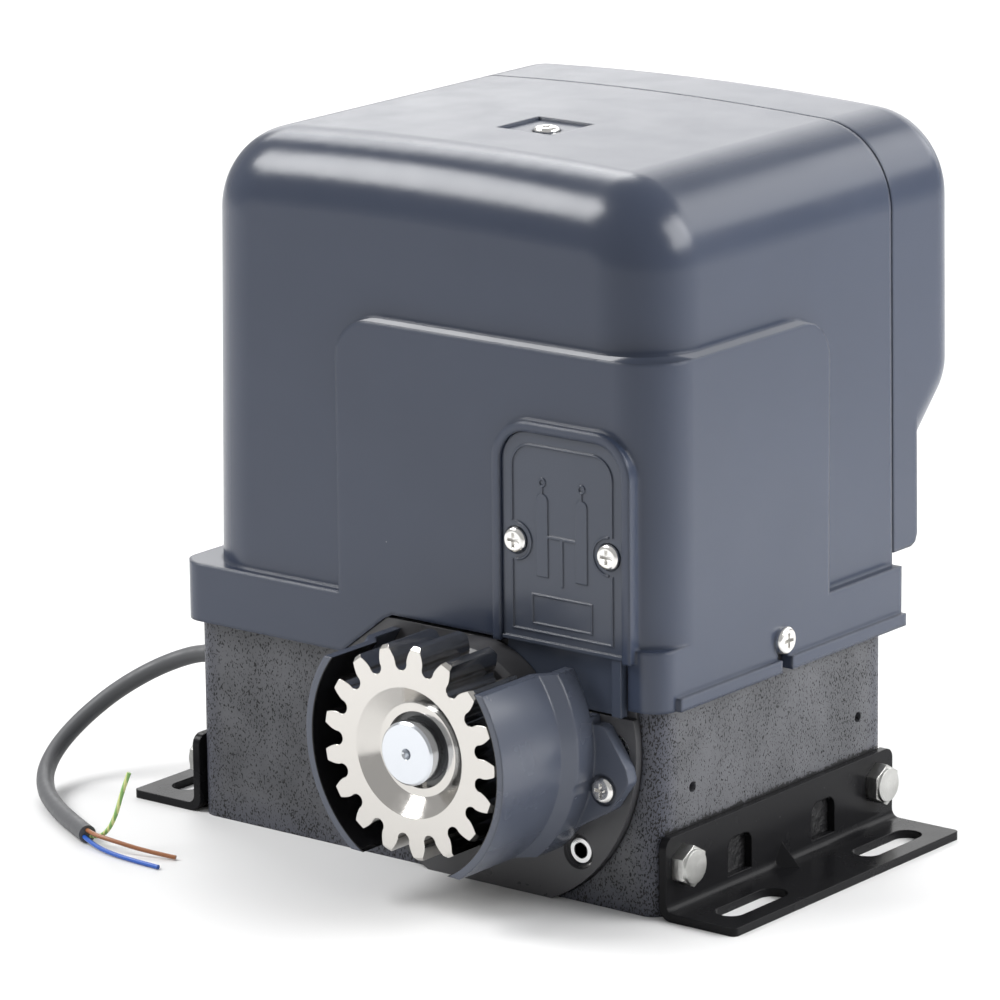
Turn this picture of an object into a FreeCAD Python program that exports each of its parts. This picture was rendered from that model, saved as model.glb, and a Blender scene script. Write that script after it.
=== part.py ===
import FreeCAD
import Part
import math
import os

# Sliding gate motor.  Millimetres, +Z up, the pinion faces -Y.
# Origin: centre of the base casting's footprint, on the surface that it stands on.

# ---- driving dimensions ----------------------------------------------------
# base casting
BASE_LENGTH = 206.0
BASE_DEPTH = 136.0
BASE_HEIGHT = 90.0
BASE_CORNER = 7.0
BASE_FLOOR = 8.0
BASE_WALL = 6.0
GEARCASE_END_WALL = 18.0
GEARCASE_LEFT = -44.0
GEARCASE_RIGHT = 84.0
BULKHEAD = 6.0
SIDE_TAPPING_R = 1.9
SIDE_TAPPING_DEPTH = 8.0
SIDE_TAPPINGS = ((-48.5, 47.5), (50.5, 46.5))

# output shaft and pinion
OUTPUT_X = 32.0
OUTPUT_DROP = 32.0
MODULE = 4.0
PINION_TEETH = 17
PINION_WIDTH = 26.0
PINION_STANDOFF = 20.5
DISH_R = 23.0
DISH_DEPTH = 4.8
HUB_FACE_R = 16.5
SHAFT_END_R = 11.25
SHAFT_R = 12.5
SHAFT_PROUD = 1.5
KEY_SIZE = 6.0
RING_SEAT = 2.25
RING_RECESS = 3.5
RING_WIDTH = 1.2
SEAL_R = 20.0
SEAL_WIDTH = 6.0
OUTPUT_BEARING_R = 26.0
OUTPUT_BEARING_WIDTH = 15.0

# output flange
FLANGE_R = 64.0
FLANGE_PROUD = 3.0
FLANGE_THICKNESS = 9.0
FLANGE_BOSS_R = 30.0
FLANGE_BOSS_LENGTH = 13.0
FLANGE_BOLT_R = 55.0
FLANGE_SCREW_R = 3.0
FLANGE_SCREW_SINK = 6.4
FLANGE_SCREW_ANGLES = (0, 180, 225)

# worm drive
WHEEL_MODULE = 2.5
WHEEL_TEETH = 30
WHEEL_WIDTH = 18.0
WHEEL_HUB_R = 26.0
WHEEL_HUB_WIDTH = 24.0
WORM_PITCH_R = 10.0
WORM_TURNS = 3
MESH_BACKLASH = 1.0
MOTOR_SHAFT_R = 7.5

# clutch and manual release
RELEASE_R = 6.0
RELEASE_KEY_AF = 5.0
RELEASE_SINK = 1.5
RELEASE_HEIGHT = 19.11
RELEASE_TURN = 90.0
RELEASE_TRAVEL = 4.2
DOG_R = 24.0
DOG_LENGTH = 16.0
LUG_LENGTH = 4.0
LUG_WIDTH = 8.0
FORK_THICKNESS = 5.0
FORK_ARM_WIDTH = 14.0
GROOVE_DEPTH = 4.5
PIN_R = 1.5
PIN_ANGLE = 90.0
CAM_DEPTH = 2.0

# motor
STATOR_OVERHANG = 1.0
STATOR_LENGTH = 50.0
ROTOR_R = 28.5
AIR_GAP = 0.7
BELL_WALL = 4.0
LOWER_BELL_HEIGHT = 18.0
UPPER_BELL_HEIGHT = 24.0
COVER_HEIGHT = 17.0
GASKET = 1.0
WORM_BEARING_R = 16.0
MOTOR_BEARING_R = 17.5
MOTOR_BEARING_WIDTH = 11.0
TIE_BOLT_R = 2.0
TIE_BOLT_INSET = 4.0

# hood
HOOD_TOP = 254.0
HOOD_WALL = 2.8
HOOD_DRAFT = 2.0
HOOD_CROWN_R = 1400.0
HOOD_SHOULDER = 30.0
HOOD_FRONT_EDGE = 25.0
HOOD_REAR_EDGE = 14.0
SKIRT_PROUD = 4.0
SKIRT_DROP = 16.5
SKIRT_RISE = 5.0
SKIRT_CORNER = 9.0
PANEL_TOP = 194.0
PANEL_LEFT = -33.0
PANEL_BACK = 27.0
PANEL_CORNER = 15.0
PANEL_CORNER_R = 19.0
SEAM_OVERHANG = 4.4
SEAM_GAP = 0.8
REAR_OVERHANG = 47.0
REAR_LOWER_OVERHANG = 19.3
REAR_RISE = 9.0
REAR_STEP_RISE = 37.0
REAR_STEP_BEND = 22.0
REAR_FOOT_ROUND = 4.0
BEAD = 2.0
BEAD_HEIGHT = 4.5
SKIRT_NOTCH_WIDTH = 6.0
HOOD_SCREW_Y = -0.9
HOOD_SCREW_DROP = 5.5
POCKET_SIZE = 24.0
POCKET_DEPTH = 2.0
POCKET_X = 6.2
POCKET_Y = -2.1
POCKET_SCREW_X = 9.0
POCKET_SCREW_Y = -5.2
GEAR_NOTCH_LEFT = -31.0
GEAR_NOTCH_SHOULDER = -13.0
GEAR_NOTCH_RISE = 0.5

# limit cover and its housing
FRAME_LEFT = 38.0
FRAME_RIGHT = 96.6
FRAME_TOP = 169.0
FRAME_BAR = 3.4
FRAME_PROUD = 3.2
FRAME_RADIUS = 15.0
LIMIT_RISE = 1.5
LIMIT_APRON_DROP = 19.0
PLATE_THICKNESS = 2.4
PLATE_RECESS = 1.2
PLATE_LINE = 0.5
LIMIT_SCREW_RISE = 36.8
LIMIT_SCREW_INSET = 5.8
LIMIT_BOX_DEPTH = 11.5
LIMIT_WALL = 2.5
RELIEF = 0.4

# pinion guard
GUARD_WALL = 3.0
GUARD_GAP = 5.5
GUARD_TOP_DROP = 4.0
GUARD_DROP = 38.7
GUARD_FRONT_LEFT = 113.0
GUARD_FRONT_RIGHT = 122.0
GUARD_FLANGE = 5.0
GUARD_STEP = 3.5
GUARD_PLATE_DROP = 44.0
GUARD_EAR = ((53.7, 9.6), (63.3, -4.1), (64.3, -9.1), (57.0, -19.9), (41.3, -28.9))
GUARD_SCREW = (53.5, -13.0)
GUARD_SCREW_SINK = 1.2

# feet
FOOT_SHEET = 3.0
FOOT_HEIGHT = 29.0
FOOT_REACH = 32.0
FOOT_BEND = 3.0
SLOT_LENGTH = 35.0
SLOT_WIDTH = 10.6
SLOT_OFFSET = 19.5
SLOT_SPACING = 82.0
WINDOW_WIDTH = 14.0
WINDOW_BOTTOM = 6.5
WINDOW_TOP = 20.0
WINDOW_OFFSET = 25.0
DART_REACH = 10.0
DART_HALF = 7.0
FOOT_BOLT_INSET = 10.0
FOOT_BOLT_Z = 18.0
FOOT_BOLT_AF = 13.0
FOOT_BOLT_R = 4.0

# screws
SCREW_HEAD_R = 4.6
SCREW_HEAD_HEIGHT = 2.6
SCREW_R = 2.0

# electrics
CAPACITOR_R = 15.0
CAPACITOR_HEIGHT = 70.0
CAPACITOR_X = -76.0
CAPACITOR_INSET = 32.0
CAPACITOR_SEAT = 12.0
CLAMP_HEIGHT = 14.0
TRANSFORMER_X = -71.0
TRANSFORMER_INSET = 34.0
CORE_WIDTH = 26.0
CORE_LENGTH = 44.0
CORE_HEIGHT = 40.0
CORE_LIMB = 8.0
BOARD_INSET = 5.0
BOARD_HALF = 80.0
BOARD_TOP_DROP = 28.0
BOARD_THICKNESS = 1.6
BOARD_STANDOFF = 4.5
BOARD_LIFT = 14.0
RELAY_SIZE = 18.0
RELAY_PITCH = 24.0
RELAY_LIFT = 46.0
RELAY_HEIGHT = 15.4
TERMINAL_PITCH = 14.0
TERMINAL_COUNT = 10
TERMINAL_HEIGHT = 9.0
TERMINAL_DEPTH = 10.0

# lead
CORD_R = 3.25
CORE_R = 0.8
GLAND_Y = -28.0
GLAND_Z = 47.0
GLAND_R = 8.0
GLAND_REACH = 16.0

# clearances
RUNNING = 0.05
FIT = 0.1
SEAT = 0.3

# ---- sizes that follow ------------------------------------------------------
HALF_LENGTH = BASE_LENGTH / 2
HALF_DEPTH = BASE_DEPTH / 2
FRONT = -HALF_DEPTH
OUTPUT_Z = BASE_HEIGHT - OUTPUT_DROP
FOOT_BOLT_Y = HALF_DEPTH - FOOT_BOLT_INSET
PITCH_R = MODULE * PINION_TEETH / 2
PINION_TIP_R = PITCH_R + MODULE
PINION_BACK = FRONT - PINION_STANDOFF
PINION_FRONT = PINION_BACK - PINION_WIDTH
DISH_FLOOR = PINION_FRONT + DISH_DEPTH
RING_FLOOR = DISH_FLOOR + RING_RECESS
SHAFT_FRONT = PINION_FRONT - SHAFT_PROUD
SHAFT_SHOULDER = PINION_BACK + FIT
FLANGE_FRONT = FRONT - FLANGE_PROUD
FLANGE_BACK = FLANGE_FRONT + FLANGE_THICKNESS
BOSS_FRONT = FLANGE_FRONT - FLANGE_BOSS_LENGTH
CAVITY_FRONT = FRONT + GEARCASE_END_WALL
CAVITY_BACK = HALF_DEPTH - GEARCASE_END_WALL
SPIGOT_R = OUTPUT_DROP
RING_R = SHAFT_END_R + RING_SEAT
BEARING_BACK = CAVITY_FRONT - 2.0
BEARING_FRONT = BEARING_BACK - OUTPUT_BEARING_WIDTH
REAR_BEARING_FRONT = CAVITY_BACK - 4.0
SHAFT_BACK = REAR_BEARING_FRONT + OUTPUT_BEARING_WIDTH
WHEEL_PITCH_R = WHEEL_MODULE * WHEEL_TEETH / 2
WHEEL_TIP_R = WHEEL_PITCH_R + WHEEL_MODULE
WORM_LEAD = math.pi * WHEEL_MODULE
WORM_TIP_R = WORM_PITCH_R + WHEEL_MODULE
WORM_ROOT_R = WORM_PITCH_R - 1.2 * WHEEL_MODULE
MOTOR_X = OUTPUT_X - WHEEL_PITCH_R - WORM_PITCH_R
RELEASE_Z = RELEASE_HEIGHT
RELEASE_FALL = math.degrees(math.asin((OUTPUT_Z - RELEASE_Z) / FLANGE_BOLT_R))
RELEASE_X = OUTPUT_X + FLANGE_BOLT_R * math.cos(math.radians(RELEASE_FALL))
WHEEL_HUB_FRONT = -WHEEL_HUB_WIDTH / 2
DOG_BACK = WHEEL_HUB_FRONT - SEAT * 2
DOG_FRONT = DOG_BACK - DOG_LENGTH
GROOVE_Y = (DOG_FRONT + DOG_BACK) / 2
GROOVE_R = DOG_R - GROOVE_DEPTH
PIN_Y = GROOVE_Y
STATOR_R = CAVITY_BACK + STATOR_OVERHANG
TIE_BOLT_CIRCLE = STATOR_R - TIE_BOLT_INSET
COVER_BOTTOM = BASE_HEIGHT + GASKET
COVER_TOP = COVER_BOTTOM + COVER_HEIGHT
STATOR_BOTTOM = COVER_TOP + LOWER_BELL_HEIGHT
STATOR_TOP = STATOR_BOTTOM + STATOR_LENGTH
BELL_TOP = STATOR_TOP + UPPER_BELL_HEIGHT
SKIRT_X = HALF_LENGTH + SKIRT_PROUD
SKIRT_Y = HALF_DEPTH + SKIRT_PROUD
SKIRT_BOTTOM = BASE_HEIGHT - SKIRT_DROP
SKIRT_TOP = BASE_HEIGHT + SKIRT_RISE
HOOD_BOTTOM = BASE_HEIGHT + SEAT
HOOD_SCREW_Z = BASE_HEIGHT - HOOD_SCREW_DROP
SEAM_Y = HALF_DEPTH + SEAM_OVERHANG
REAR_REACH = HALF_DEPTH + REAR_OVERHANG
REAR_LOWER_REACH = HALF_DEPTH + REAR_LOWER_OVERHANG
REAR_BOTTOM = BASE_HEIGHT + REAR_RISE
REAR_STEP_Z = BASE_HEIGHT + REAR_STEP_RISE
GEAR_NOTCH_TOP = BASE_HEIGHT + GEAR_NOTCH_RISE
LIMIT_BOTTOM = BASE_HEIGHT + LIMIT_RISE
LIMIT_APRON_BOTTOM = BASE_HEIGHT - LIMIT_APRON_DROP
LIMIT_SCREW_Z = BASE_HEIGHT + LIMIT_SCREW_RISE
GUARD_TOP = BASE_HEIGHT - GUARD_TOP_DROP
GUARD_BOTTOM = OUTPUT_Z - GUARD_DROP
GUARD_PLATE_BOTTOM = OUTPUT_Z - GUARD_PLATE_DROP
HOOD_INNER_TOP = HOOD_TOP - HOOD_WALL
PLATE_LEFT = FRAME_LEFT + FRAME_BAR + SEAT
PLATE_RIGHT = FRAME_RIGHT - FRAME_BAR - SEAT
PLATE_TOP = FRAME_TOP - FRAME_BAR - SEAT
FRAME_FRONT = -SKIRT_Y - FRAME_PROUD
PLATE_FRONT = FRAME_FRONT + PLATE_RECESS
PLATE_BACK = PLATE_FRONT + PLATE_THICKNESS
GUARD_INNER_R = PINION_TIP_R + GUARD_GAP
GUARD_OUTER_R = GUARD_INNER_R + GUARD_WALL
CAPACITOR_Y = HALF_DEPTH - CAPACITOR_INSET
CAPACITOR_BOTTOM = BASE_FLOOR + CAPACITOR_SEAT
CAPACITOR_TOP = CAPACITOR_BOTTOM + CAPACITOR_HEIGHT
TRANSFORMER_Y = TRANSFORMER_INSET - HALF_DEPTH
BOARD_Y = HALF_DEPTH - BOARD_INSET
BOARD_TOP = HOOD_TOP - BOARD_TOP_DROP
BOARD_BOTTOM = COVER_TOP + BOARD_LIFT


# ---- helpers ----------------------------------------------------------------
def vec(x, y, z):
    return FreeCAD.Vector(x, y, z)


def box(x0, x1, y0, y1, z0, z1):
    return Part.makeBox(x1 - x0, y1 - y0, z1 - z0, vec(x0, y0, z0))


def rod_x(y, z, r, x0, x1):
    return Part.makeCylinder(r, x1 - x0, vec(x0, y, z), vec(1, 0, 0))


def rod_y(x, z, r, y0, y1):
    return Part.makeCylinder(r, y1 - y0, vec(x, y0, z), vec(0, 1, 0))


def rod_z(x, y, r, z0, z1):
    return Part.makeCylinder(r, z1 - z0, vec(x, y, z0), vec(0, 0, 1))


def ring_y(x, z, r_in, r_out, y0, y1):
    return rod_y(x, z, r_out, y0, y1).cut(rod_y(x, z, r_in, y0 - 1, y1 + 1))


def ring_z(x, y, r_in, r_out, z0, z1):
    return rod_z(x, y, r_out, z0, z1).cut(rod_z(x, y, r_in, z0 - 1, z1 + 1))


def polygon(points, sweep):
    """Extrude a closed polygon of 3-D points along a vector."""
    wire = Part.makePolygon(points + [points[0]])
    return Part.Face(wire).extrude(sweep)


def turned_y(profile, x, z):
    """Revolve (radius, y) points about the axis along Y through (x, z)."""
    points = [vec(x + r, y, z) for r, y in profile]
    face = Part.Face(Part.makePolygon(points + [points[0]]))
    return face.revolve(vec(x, 0, z), vec(0, 1, 0), 360)


def turned_z(profile, x, y):
    """Revolve (radius, z) points about the axis along Z through (x, y)."""
    points = [vec(x + r, y, z) for r, z in profile]
    face = Part.Face(Part.makePolygon(points + [points[0]]))
    return face.revolve(vec(x, y, 0), vec(0, 0, 1), 360)


def rounded_wire(x0, x1, y0, y1, z, r):
    """Rectangle with rounded corners in a horizontal plane."""
    k = r * math.sqrt(0.5)
    edges = []
    corners = ((x1 - r, y0 + r, 1, -1), (x1 - r, y1 - r, 1, 1),
               (x0 + r, y1 - r, -1, 1), (x0 + r, y0 + r, -1, -1))
    arcs = []
    for cx, cy, sx, sy in corners:
        side = vec(cx + sx * r, cy, z)
        end = vec(cx, cy + sy * r, z)
        middle = vec(cx + sx * k, cy + sy * k, z)
        first, last = (end, side) if sx * sy < 0 else (side, end)
        arcs.append((first, middle, last))
    for i, (first, middle, last) in enumerate(arcs):
        edges.append(Part.Arc(first, middle, last).toShape())
        edges.append(Part.LineSegment(last, arcs[(i + 1) % 4][0]).toShape())
    return Part.Wire(edges)


def rounded_box(x0, x1, y0, y1, z0, z1, r):
    return Part.Face(rounded_wire(x0, x1, y0, y1, z0, r)).extrude(vec(0, 0, z1 - z0))


def arch(x0, x1, z0, z1, r, y0, y1):
    """Plate in the XZ plane with two rounded top corners."""
    k = r * (1 - math.sqrt(0.5))
    points = [vec(x0, y0, z0), vec(x1, y0, z0), vec(x1, y0, z1 - r), vec(x1 - r, y0, z1),
              vec(x0 + r, y0, z1), vec(x0, y0, z1 - r)]
    right = Part.Arc(points[2], vec(x1 - k, y0, z1 - k), points[3]).toShape()
    left = Part.Arc(points[4], vec(x0 + k, y0, z1 - k), points[5]).toShape()
    edges = [Part.LineSegment(points[0], points[1]).toShape(),
             Part.LineSegment(points[1], points[2]).toShape(), right,
             Part.LineSegment(points[3], points[4]).toShape(), left,
             Part.LineSegment(points[5], points[0]).toShape()]
    return Part.Face(Part.Wire(edges)).extrude(vec(0, y1 - y0, 0))


def hexagon(centre, axis, flats, length):
    """Hexagonal prism; centre is the middle of its first face."""
    z = vec(*axis)
    side = vec(0, 0, 1) if abs(axis[2]) < 0.5 else vec(1, 0, 0)
    other = z.cross(side)
    r = flats / math.sqrt(3)
    points = []
    for i in range(6):
        a = math.radians(60 * i)
        points.append(centre + side * (r * math.cos(a)) + other * (r * math.sin(a)))
    return polygon(points, z * length)


def fuse(shapes):
    return shapes[0].multiFuse(shapes[1:]).removeSplitter()


def mirror_x(shape):
    return shape.mirror(vec(0, 0, 0), vec(1, 0, 0))


def group(shapes):
    return Part.makeCompound(shapes)


def pan_screw(seat, axis, head_r, length, shank_r):
    """Pan-head cross-recess screw; seat is where its head bears, axis points out of the head."""
    out = vec(*axis)
    side = vec(0, 0, 1) if abs(axis[2]) < 0.5 else vec(1, 0, 0)
    other = out.cross(side)
    head = Part.makeCylinder(head_r, SCREW_HEAD_HEIGHT, seat, out)
    rim = [edge for edge in head.Edges if (edge.BoundBox.Center - seat).dot(out) > SCREW_HEAD_HEIGHT - 0.1]
    head = head.makeFillet(SCREW_HEAD_HEIGHT * 0.6, [rim[0]])
    top = seat + out * SCREW_HEAD_HEIGHT
    for u, w in ((side, other), (other, side)):
        a = u * (head_r * 0.55)
        b = w * (head_r * 0.13)
        recess = polygon([top + a + b, top - a + b, top - a - b, top + a - b], out * -1.6)
        head = head.cut(recess)
    return head.fuse(Part.makeCylinder(shank_r, length, seat, out * -1)).removeSplitter()


def export(name, shape):
    solids = shape.Solids
    shape = solids[0] if len(solids) == 1 else Part.makeCompound(solids)
    shape.exportStep("parts/" + name + ".step")
    faces = sum(len(solid.Faces) for solid in solids)
    print(name, len(solids), "solids", faces, "faces", "valid" if shape.isValid() else "INVALID")


# ---- base casting -------------------------------------------------------------
def base_casting():
    body = rounded_box(-HALF_LENGTH, HALF_LENGTH, -HALF_DEPTH, HALF_DEPTH, 0, BASE_HEIGHT, BASE_CORNER)
    oil_bath = rounded_box(GEARCASE_LEFT, GEARCASE_RIGHT, CAVITY_FRONT, CAVITY_BACK,
                           BASE_FLOOR, BASE_HEIGHT + 1, BASE_CORNER)
    dry_box = rounded_box(-HALF_LENGTH + BASE_WALL, GEARCASE_LEFT - BULKHEAD, -HALF_DEPTH + BASE_WALL,
                          HALF_DEPTH - BASE_WALL, BASE_FLOOR, BASE_HEIGHT + 1, BASE_CORNER)
    body = body.cut(oil_bath).cut(dry_box)
    # pads: worm bearing in the floor, rear bearing in the back wall, release bush in the front
    worm_pad = rod_z(MOTOR_X, 0, MOTOR_SHAFT_R + 13, BASE_FLOOR - 2, BASE_FLOOR + 10)
    rear_pad = rod_y(OUTPUT_X, OUTPUT_Z, OUTPUT_BEARING_R + 5, REAR_BEARING_FRONT, HALF_DEPTH - 2)
    rear_pad = rear_pad.common(box(GEARCASE_LEFT, GEARCASE_RIGHT, 0, HALF_DEPTH, 0, BASE_HEIGHT))
    body = fuse([body, worm_pad, rear_pad])
    tools = [rod_z(MOTOR_X, 0, WORM_BEARING_R + FIT, BASE_FLOOR, BASE_FLOOR + 11),
             rod_y(OUTPUT_X, OUTPUT_Z, OUTPUT_BEARING_R + FIT, REAR_BEARING_FRONT - 1,
                   REAR_BEARING_FRONT + OUTPUT_BEARING_WIDTH + FIT),
             rod_y(OUTPUT_X, OUTPUT_Z, FLANGE_R + SEAT, FRONT - 1, FLANGE_BACK),
             rod_y(OUTPUT_X, OUTPUT_Z, SPIGOT_R + FIT, FRONT, CAVITY_FRONT + 1),
             rod_y(RELEASE_X, RELEASE_Z, RELEASE_R + RUNNING, FRONT, CAVITY_FRONT + 1),
             rod_x(GLAND_Y, GLAND_Z, GLAND_R + FIT, -HALF_LENGTH - 1, -HALF_LENGTH + BASE_WALL + 1)]
    for angle in FLANGE_SCREW_ANGLES:
        x, z = on_flange(angle)
        tools.append(rod_y(x, z, FLANGE_SCREW_R + FIT, FRONT, FLANGE_BACK + 8 + SEAT))
    for y, drop in SIDE_TAPPINGS:
        tools.append(rod_x(y, BASE_HEIGHT - drop, SIDE_TAPPING_R, HALF_LENGTH - SIDE_TAPPING_DEPTH, HALF_LENGTH + 1))
    for x0, x1 in ((HALF_LENGTH - 16, HALF_LENGTH + 1), (-HALF_LENGTH - 1, -HALF_LENGTH + BASE_WALL + 1)):
        for y in (-FOOT_BOLT_Y, FOOT_BOLT_Y):
            tools.append(rod_x(y, FOOT_BOLT_Z, FOOT_BOLT_R + FIT, x0, x1))
        tools.append(rod_x(HOOD_SCREW_Y, HOOD_SCREW_Z, SCREW_R + FIT, x0, x1))
    for x, y in cover_screw_places():
        tools.append(rod_z(x, y, SCREW_R + FIT, BASE_HEIGHT - 10, BASE_HEIGHT + 1))
    return body.cut(Part.makeCompound(tools))


def on_flange(angle):
    a = math.radians(angle)
    return OUTPUT_X + FLANGE_BOLT_R * math.cos(a), OUTPUT_Z + FLANGE_BOLT_R * math.sin(a)


def cover_screw_places():
    left = GEARCASE_LEFT + BULKHEAD
    back = CAVITY_BACK + SCREW_HEAD_R
    return [(left, -back), (left, back), (GEARCASE_RIGHT, -back), (GEARCASE_RIGHT, back)]


# ---- output flange, its screws and the release spindle ------------------------------
def output_flange():
    disc = rod_y(OUTPUT_X, OUTPUT_Z, FLANGE_R, FLANGE_FRONT, FLANGE_BACK)
    disc = disc.common(box(-HALF_LENGTH, HALF_LENGTH, FLANGE_FRONT, FLANGE_BACK, 0, 2 * BASE_HEIGHT))
    hub = turned_y([(0, BOSS_FRONT), (FLANGE_BOSS_R - 2, BOSS_FRONT), (FLANGE_BOSS_R, BOSS_FRONT + 2),
                    (FLANGE_BOSS_R + 1.5, FLANGE_FRONT), (FLANGE_BOSS_R + 1.5, FLANGE_BACK - 1),
                    (0, FLANGE_BACK - 1)], OUTPUT_X, OUTPUT_Z)
    spigot = rod_y(OUTPUT_X, OUTPUT_Z, SPIGOT_R, FLANGE_BACK - 1, CAVITY_FRONT)
    body = fuse([disc, hub, spigot])
    # lid of the disc: it ends below the hood, and steps back behind the hood's front wall
    top = BASE_HEIGHT - 1
    step_y = -SKIRT_Y + HOOD_WALL + SEAT
    beside_notch = box(-HALF_LENGTH, FRAME_LEFT - 1, FLANGE_FRONT - 1, step_y, SKIRT_BOTTOM - SEAT, top + 1)
    tools = [box(-HALF_LENGTH, HALF_LENGTH, FLANGE_FRONT - 1, FLANGE_BACK + 1, top, 2 * BASE_HEIGHT),
             beside_notch.cut(gear_notch(SEAT)),
             box(FRAME_LEFT - 1, HALF_LENGTH, FLANGE_FRONT - 1, step_y, LIMIT_APRON_BOTTOM - 1, top + 1),
             rod_y(OUTPUT_X, OUTPUT_Z, SHAFT_R + FIT, BOSS_FRONT - 1, CAVITY_FRONT + 1),
             rod_y(OUTPUT_X, OUTPUT_Z, SEAL_R + RUNNING, BOSS_FRONT - 1, BOSS_FRONT + SEAL_WIDTH),
             rod_y(OUTPUT_X, OUTPUT_Z, OUTPUT_BEARING_R + RUNNING, BEARING_FRONT, CAVITY_FRONT + 1),
             rod_y(RELEASE_X, RELEASE_Z, RELEASE_R + RUNNING, FLANGE_FRONT - 1, FLANGE_BACK + 1),
             rod_y(RELEASE_X, RELEASE_Z, RELEASE_R + SEAT, FLANGE_FRONT - 1, FLANGE_FRONT + RELEASE_SINK)]
    for angle in FLANGE_SCREW_ANGLES:
        x, z = on_flange(angle)
        tools.append(rod_y(x, z, FLANGE_SCREW_R + FIT, FLANGE_FRONT - 1, FLANGE_BACK + 1))
        tools.append(rod_y(x, z, FLANGE_SCREW_R * 2 + FIT, FLANGE_FRONT - 1, FLANGE_FRONT + FLANGE_SCREW_SINK))
    return body.cut(Part.makeCompound(tools))


def flange_screws():
    screws = []
    for angle in FLANGE_SCREW_ANGLES:
        x, z = on_flange(angle)
        seat = FLANGE_FRONT + FLANGE_SCREW_SINK
        head = rod_y(x, z, FLANGE_SCREW_R * 2 - 0.5, seat - 5.6, seat)
        head = head.cut(hexagon(vec(x, seat - 5.6, z), (0, 1, 0), RELEASE_KEY_AF, 3))
        screws.append(head.fuse(rod_y(x, z, FLANGE_SCREW_R, seat, FLANGE_BACK + 8)).removeSplitter())
    return group(screws)


def release_spindle():
    """Turned spindle: hexagon socket in front, quarter-turn cam groove on its inner end."""
    front = FLANGE_FRONT + RELEASE_SINK
    back = PIN_Y + 9
    body = turned_y([(0, front), (RELEASE_R - 1.6, front), (RELEASE_R - 0.8, front + 0.8),
                     (RELEASE_R - 0.8, front + 1.6), (RELEASE_R, front + 1.6), (RELEASE_R, back - 1),
                     (RELEASE_R - 1, back), (0, back)], RELEASE_X, RELEASE_Z)
    body = body.cut(hexagon(vec(RELEASE_X, front, RELEASE_Z), (0, 1, 0), RELEASE_KEY_AF, 6))
    centre = vec(RELEASE_X, 0, RELEASE_Z)
    holes = []
    steps = 12
    for i in range(steps + 1):
        part = i / steps
        turn = math.radians(PIN_ANGLE - RELEASE_TURN * part)
        out = vec(math.sin(turn), 0, math.cos(turn))
        start = centre + out * (RELEASE_R - CAM_DEPTH) + vec(0, PIN_Y - RELEASE_TRAVEL * part, 0)
        holes.append(Part.makeCylinder(PIN_R + SEAT, CAM_DEPTH + 1, start, out))
    for hole in holes:
        body = body.cut(hole)
    return body


# ---- clutch ------------------------------------------------------------------------
def lug(y0, y1, width, angle):
    bar = box(OUTPUT_X + SHAFT_R + 4, OUTPUT_X + DOG_R, y0, y1, OUTPUT_Z - width / 2, OUTPUT_Z + width / 2)
    return bar.rotate(vec(OUTPUT_X, 0, OUTPUT_Z), vec(0, 1, 0), angle)


def clutch_dog():
    body = turned_y([(SHAFT_R + RUNNING, DOG_FRONT), (DOG_R - 1, DOG_FRONT), (DOG_R, DOG_FRONT + 1),
                     (DOG_R, GROOVE_Y - FORK_THICKNESS / 2 - SEAT),
                     (GROOVE_R, GROOVE_Y - FORK_THICKNESS / 2 - SEAT),
                     (GROOVE_R, GROOVE_Y + FORK_THICKNESS / 2 + SEAT),
                     (DOG_R, GROOVE_Y + FORK_THICKNESS / 2 + SEAT), (DOG_R, DOG_BACK),
                     (SHAFT_R + RUNNING, DOG_BACK)], OUTPUT_X, OUTPUT_Z)
    lugs = [lug(DOG_BACK - 1, DOG_BACK + LUG_LENGTH, LUG_WIDTH, 90 * i) for i in range(4)]
    return fuse([body] + lugs)


def clutch_fork():
    y0 = GROOVE_Y - FORK_THICKNESS / 2
    y1 = GROOVE_Y + FORK_THICKNESS / 2
    eye = rod_y(RELEASE_X, RELEASE_Z, RELEASE_R + 5, y0 - 3, y1 + 3)
    yoke = rod_y(OUTPUT_X, OUTPUT_Z, DOG_R + 6, y0, y1)
    opening = box(OUTPUT_X - DOG_R - 7, OUTPUT_X, y0 - 1, y1 + 1, OUTPUT_Z - DOG_R - 7, OUTPUT_Z + DOG_R + 7)
    opening.rotate(vec(OUTPUT_X, 0, OUTPUT_Z), vec(0, 1, 0), RELEASE_FALL)
    yoke = yoke.cut(opening)
    arm = box(-FORK_ARM_WIDTH / 2, FORK_ARM_WIDTH / 2, y0, y1, 0, FLANGE_BOLT_R)
    arm.rotate(vec(0, 0, 0), vec(0, 1, 0), RELEASE_FALL - 90)
    arm.translate(vec(RELEASE_X, 0, RELEASE_Z))
    body = fuse([eye, yoke, arm])
    body = body.cut(rod_y(OUTPUT_X, OUTPUT_Z, GROOVE_R + SEAT, y0 - 1, y1 + 1))
    body = body.cut(opening)
    body = body.cut(rod_y(RELEASE_X, RELEASE_Z, RELEASE_R + RUNNING, y0 - 4, y1 + 4))
    turn = math.radians(PIN_ANGLE)
    out = vec(math.sin(turn), 0, math.cos(turn))
    tip = vec(RELEASE_X, PIN_Y, RELEASE_Z) + out * (RELEASE_R - CAM_DEPTH + SEAT)
    return body.fuse(Part.makeCylinder(PIN_R, CAM_DEPTH + 3, tip, out)).removeSplitter()


# ---- output shaft and pinion ------------------------------------------------------------
def key_seat(clearance):
    half = KEY_SIZE / 2 + clearance
    x = OUTPUT_X - SHAFT_END_R
    return box(x - half, x + half, RING_FLOOR + 1 - clearance, PINION_BACK - 3 + clearance,
               OUTPUT_Z - half, OUTPUT_Z + half)


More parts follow.
